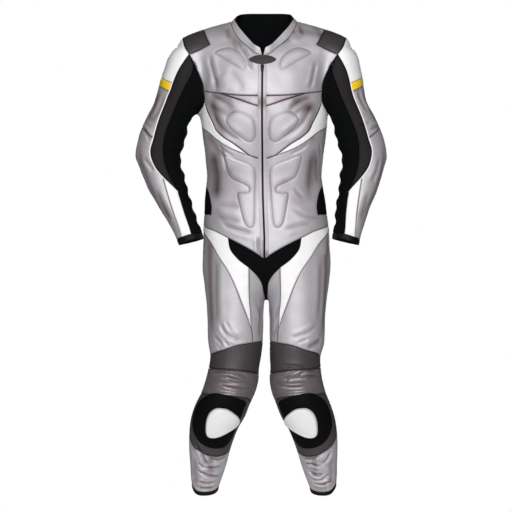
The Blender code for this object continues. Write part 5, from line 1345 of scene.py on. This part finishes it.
# ---- collar ------------------------------------------------------------------------------------
# A stand collar of silver leather, lined and bound with black stretch and cut away in a deep vee at
# the front.
COLLAR_COLUMNS = ("share of half the neckline", "out", "back", "up")  # where the collar's top stands
COLLAR = np.array([
    (0, 6, 0, -72), (0.12, -4, 2, -55), (0.27, -9, 4, -20), (0.4, -11, 3, 5), (0.46, -12, 1, 13),
    (0.52, -13, -1, 18), (0.58, -14, -3, 22), (0.66, -14, -5, 26), (0.71, -13, -6, 28), (0.76, -11, -7, 30),
    (0.8, -8, -7, 31), (0.87, -4, -7, 31.5), (1, 0, -7, 31.5),
])


def collar_strip(profile):
    """A strip round the neckline. Its profile's rows are share of the rise, millimetres more, and out."""
    half = chain("neckline", "neck_front", "neck_back")
    share = run_of(half) / run_of(half)[-1]
    top = np.stack([np.interp(share, COLLAR[:, 0], COLLAR[:, k]) for k in (1, 2, 3)], axis=1)
    for _ in range(6):  # round off the table's corners
        top[1:-1] = (top[:-2] + 2 * top[1:-1] + top[2:]) / 4
    rise = top - half * (0, 0, 1)
    base = np.concatenate([half, (half * (-1, 1, 1))[-2::-1]])
    rise = np.concatenate([rise, (rise * (-1, 1, 1))[-2::-1]])
    out = np.cross(np.gradient(base, axis=0), rise)
    out *= np.sign((out * (base - base.mean(axis=0))).sum(axis=1))[:, None]
    out, way = unit(out), unit(rise)
    return np.stack([base + s * rise + more * way + away * out for s, more, away in profile], axis=1)


def full_round(outer, inner, top, shares):
    """A strip's profile: up its outer face with a slight bulge, over its top, and down its inner face."""
    up = [(s, 0, outer + 4 * s * (1 - s)) for s in shares]
    over = [(1, top, (outer + inner) / 2)]
    return up + over + [(s, 0, inner + 4 * s * (1 - s)) for s in shares[::-1]]


SHARES = np.linspace(0, 1, 7)
points, tris = skin(collar_strip(full_round(0.2, -1.8, 0.8, SHARES)))
collar = add_mesh("collar_leather", posed(points), tris, SILVER)
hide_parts("collar")
inside = [(0, -6.0, -3.0), (0.5, 0, -1.6), (1, 0.3, -2.4), (1, 0.9, -2.0), (1, -2.6, 0.4), (1, -2.8, 1.2),
          (1, 1.2, 1.4), (1, 2.4, 0.8), (1, 2.9, -1.0), (1, 2.6, -3.4), (1, 1.0, -4.0), (0.5, 0, -3.2),
          (0, -6.0, -4.6)]
points, tris = skin(collar_strip(inside))
lining = add_mesh("collar_inside", posed(points), tris, STRETCH, cut=points[:, [0, 2]])
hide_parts("collar_lining")

# ---- cuffs and hems ----------------------------------------------------------------------------
# Folded strips of black leather that bind the open ends of the sleeves and the legs. Each goes
# round the edge in one piece and is sewn down over it, inside and out.


def edge_band(loop, limb, width, thick=2.2):
    """A folded binding below a seam round a limb, as sections down its face and back up inside."""
    flat = flatten(limb, loop)
    profile = [(0.3, 0.0), (0.25 * width, 0.5), (0.5 * width, 0.6), (0.75 * width, 0.6), (0.94 * width, 0.3),
               (width, -0.4 * thick), (0.94 * width, -thick), (0.5 * width, -thick), (0.3, -thick)]
    rows = []
    for drop, away in profile:
        on = from_round(limb, np.stack([flat[:, 0] / SPREAD[limb], flat[:, 1] - drop], axis=1))
        rows.append(on + away * normal(on))
    return skin(np.stack(rows, axis=1), closed_run=True)


BINDING_COLUMNS = ("name", "limb", "width", "piece above", "seams")
BINDINGS = [
    ("hem", "leg", 11.0, "calf",
     [("hem_front", "hem_outer", "hem_inner"), ("hem_rear", "hem_inner", "hem_outer")]),
    ("cuff", "arm", 17.0, "forearm",
     [("cuff_white", "cuff_outer", "cuff_inner"), ("cuff_under", "cuff_inner", "cuff_rear"),
      ("cuff_over", "cuff_rear", "cuff_outer")]),
]
for name, limb, width, above, seams in BINDINGS:
    loop = loop_of(seams)
    points, tris = edge_band(loop, limb, width)
    bindings = pair(name + "_binding", points, tris, BLACK, name)

# ---- zip, placket and tab ----------------------------------------------------------------------
# A metal zip from hips to collar between two folded leather edges, with a dark tab over its top.
# The slider stands just below the tab with its pull hanging on it.
METAL = covering("black_metal", (0.015, 0.015, 0.017), 0.34, 0.85, size=0.6, depth=0.1)


def centre_rail(top, foot, step=4.0):
    """Places down the front's centre line, with the way out and the way down at each."""
    count = max(3, int((top - foot) / step))
    on = np.array([find_place(("front", 0.0, up)) for up in np.linspace(top, foot, count)])
    return on, normal(on), unit(np.gradient(on, axis=0))


def railed(rail, profile):
    """A solid strip down the centre from a profile of (across, out), the same at each place."""
    on, out, _ = rail
    return skin(np.stack([on + [x, 0, 0] + away * out for x, away in profile], axis=1))


ZIP_TOP, ZIP_FOOT = -92.0, -703.0
rail = centre_rail(ZIP_TOP, ZIP_FOOT)
points, tris = railed(rail, [(-2.6, -2.2), (2.6, -2.2), (2.6, -1.0), (-2.6, -1.0)])
tape = add_mesh("zip_tape", posed(points), tris, STRETCH, cut=points[:, [0, 2]])
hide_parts("zip")
TOOTH_APART, TOOTH_SHIFT, TOOTH_SUNK = 2.6, 0.45, 0.75
on, out, down = centre_rail(ZIP_TOP - 4, ZIP_FOOT + 4, TOOTH_APART)
corners = np.array([(x, y, z) for z in (-0.5, 0.5) for x, y in
                    ((-0.9, -0.45), (0.9, -0.45), (0.9, 0.45), (-0.9, 0.45))])
shift = np.where(np.arange(len(on)) % 2 == 0, TOOTH_SHIFT, -TOOTH_SHIFT)[:, None] * (1.0, 0, 0)
x, y, z = (corners[None, :, k, None] for k in range(3))
tooth = (on + shift - TOOTH_SUNK * out)[:, None] + x * (1.0, 0, 0) + y * down[:, None] + z * out[:, None]
teeth = add_mesh("zip_teeth", posed(tooth.reshape(-1, 3)), boxes(tooth), METAL, turn=0)
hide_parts("zip")
rail = centre_rail(ZIP_TOP - 1, ZIP_FOOT + 1, 6.0)
points, tris = railed(rail, [(2.7, -0.3), (2.8, 0.2), (3.6, 0.45), (7, 0.55), (11.4, 0.5), (12.6, 0.25),
                             (13.0, -0.2), (3.6, -0.2)])
HIP_SLOPE = 0.6  # the foot of each edge follows the hip seam
points[:, 2] += HIP_SLOPE * (points[:, 0] - 2.7) * smooth_step((-670 - points[:, 2]) / 30)
up = points[:, 2]
# Painted shade on the placket: a little all down it, a painted shadow under the chest yoke about 238 mm down,
# and more below the hip seam.
tone = 0.18 + 0.55 * np.exp(-(((up + 238) / 20) ** 2)) + 0.5 * smooth_step((-672 - up) / 20)
pair("zip_placket", points, tris, SILVER, attributes={"painted_shade": tone})


def slab(name, loop, chart, profile, under, material, replaces, step=3.0, paired=True, straight=0.0):
    """A moulded or cut-out piece lying on the suit: its face rises from the edge by a profile of
    (distance in, height), its underside is level, and both are held `under` off the surface.
    `straight` is the share of one common way out in the way each point is raised."""
    rows = [inset for inset, _ in profile[1:]]
    points, normals, tris, _ = surface_patch(loop, chart, step, rows=rows)
    far, _ = near_edge(points, loop)
    lift = np.interp(far, *zip(*profile))
    normals = unit((1 - straight) * normals + straight * normals.mean(axis=0))
    count, size = len(loop), len(points)
    face, back = points + (under + lift)[:, None] * normals, points + under * normals
    i = np.arange(count)
    j = (i + 1) % count
    rim = np.concatenate([np.stack([j, i, size + i], axis=1), np.stack([j, size + i, size + j], axis=1)])
    edge = np.stack([tris, np.roll(tris, -1, axis=1)], axis=2).reshape(-1, 2)
    forward = ((edge[:, 0] < count) & (edge[:, 1] == (edge[:, 0] + 1) % count)).sum()
    backward = ((edge[:, 1] < count) & (edge[:, 0] == (edge[:, 1] + 1) % count)).sum()
    rim = rim if forward > backward else rim[:, ::-1]
    points, tris = np.concatenate([face, back]), np.concatenate([tris, size + tris[:, ::-1], rim])
    if paired:
        pair(name, points, tris, material, replaces)
    else:
        made = add_mesh(name, posed(points), tris, material)
        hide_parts(replaces)


TAB_HALF_WIDE, TAB_HALF_TALL, TAB_UP = 41, 14.0, -111
turns = np.linspace(0, 2 * np.pi, 80, endpoint=False)
tall = TAB_HALF_TALL * np.sin(turns) * np.abs(np.sin(turns)) ** 0.35
oval = np.array([find_place(("front", x, z)) for x, z in zip(TAB_HALF_WIDE * np.cos(turns), tall + TAB_UP)])
TAB = covering("tab_leather", (0.034, 0.026, 0.027), 0.5, specular=0.35)
slab("neck_tab_leather", oval, "trunk", [(0, 1.6), (0.6, 2.6), (1.6, 3.1), (3.0, 2.9), (9, 3.3)], 0.6, TAB,
     "neck_tab", paired=False)

SLIDER_TOP, SLIDER_END = -127.5, -142.0
on, out, down = centre_rail(SLIDER_TOP, SLIDER_END, 1.0)
u = np.linspace(0, 1, len(on))
half = 5.3 - 2.2 * u**2
rows = np.stack([on + np.stack([x * half, 0 * half, 0 * half], axis=1) + away * out
                 for x, away in ((-1, 0.7), (1, 0.7), (1, 2.6), (0.8, 3.4), (-0.8, 3.4), (-1, 2.6))], axis=1)
points, tris = skin(rows)
car = add_mesh("zip_slider", posed(points), tris, METAL)
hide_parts("zip")

# The pull: a flat metal tab on the slider's loop.
PULL_UP, PULL_LONG, PULL_THICK, FACE = -129.0, 19.0, 1.6, 3.6
top, low = (find_place(("front", 0, up)) for up in (PULL_UP, PULL_UP - PULL_LONG))
down = (low - top) / np.linalg.norm(low - top)
out = np.cross(down, (1.0, 0, 0))
hinge = top + out * (FACE + 0.6 + PULL_THICK / 2)
outline = [(-0.7, 2.3), (0.4, 2.7), (3, 2.6), (5, 2.9), (8, 3.9), (16, 4.0), (18, 3.3), (19, 2.0)]
bevelled = [(-1, 0, 0), (-1, 0.5, -0.8), (1, 0.5, -0.8), (1, 0, 0), (1, 0.5, 0.8), (-1, 0.5, 0.8)]
rows = [[hinge + d * down + np.array([s * (wide - cut), 0, 0]) + away * out for s, cut, away in bevelled]
        for d, wide in outline]
points, tris = skin(np.array(rows))
pull = add_mesh("zip_pull_tab", posed(points), tris, METAL, body="pull")
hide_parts("zip_pull")

# ---- knee sliders ------------------------------------------------------------------------------
# A black moulded plastic base sewn on each knee, and on it a puck of pale hard plastic that the
# knee slides on. The puck is held by hook-and-loop and is changed when it is worn.
SLIDER_BASE = [(158, -1109), (134, -1105), (90, -1114), (52, -1129), (55, -1150), (71, -1190), (84, -1217),
               (96, -1243), (110, -1262), (130, -1270), (162, -1266), (190, -1246), (206, -1208),
               (201, -1164), (184, -1128)]
SLIDER_PUCK = [(138, -1149), (118, -1148), (98, -1153), (74, -1172), (70, -1186), (82, -1203), (106, -1220),
               (132, -1233), (154, -1235), (167, -1224), (166, -1188), (156, -1163)]
PLASTIC = covering("black_plastic", (0.0035, 0.004, 0.0045), 0.5, size=0.9, depth=0.4, specular=0.03)
PUCK = covering("white_plastic", (0.78, 0.78, 0.78), 0.32, size=2.2, depth=0.3, dark=0.0)


def front_ring(outline, step):
    """An outline seen from the front, smoothed and put on the surface."""
    return np.array([find_place(("front", x, z)) for x, z in round_outline(outline, step)])


slab("slider_base_moulding", front_ring(SLIDER_BASE, 4.0), "leg",
     [(0, 0.8), (0.8, 2.4), (2.2, 3.4), (5, 3.5), (6.5, 2.9), (8, 3.5)], 0.8, PLASTIC,
     "slider_base")
puck_at = 0.8 + 3.4 + 0.95  # the base's own lift, its height, and the hook-and-loop
slab("knee_slider_puck", front_ring(SLIDER_PUCK, 3.0), "leg",
     [(0, 1.0), (0.5, 5.0), (1.2, 8.6), (2.2, 10.8), (3.6, 12.2), (5.5, 12.9), (8, 12.6), (20, 13.8)],
     puck_at, PUCK, "knee_slider", step=2.6, straight=0.75)
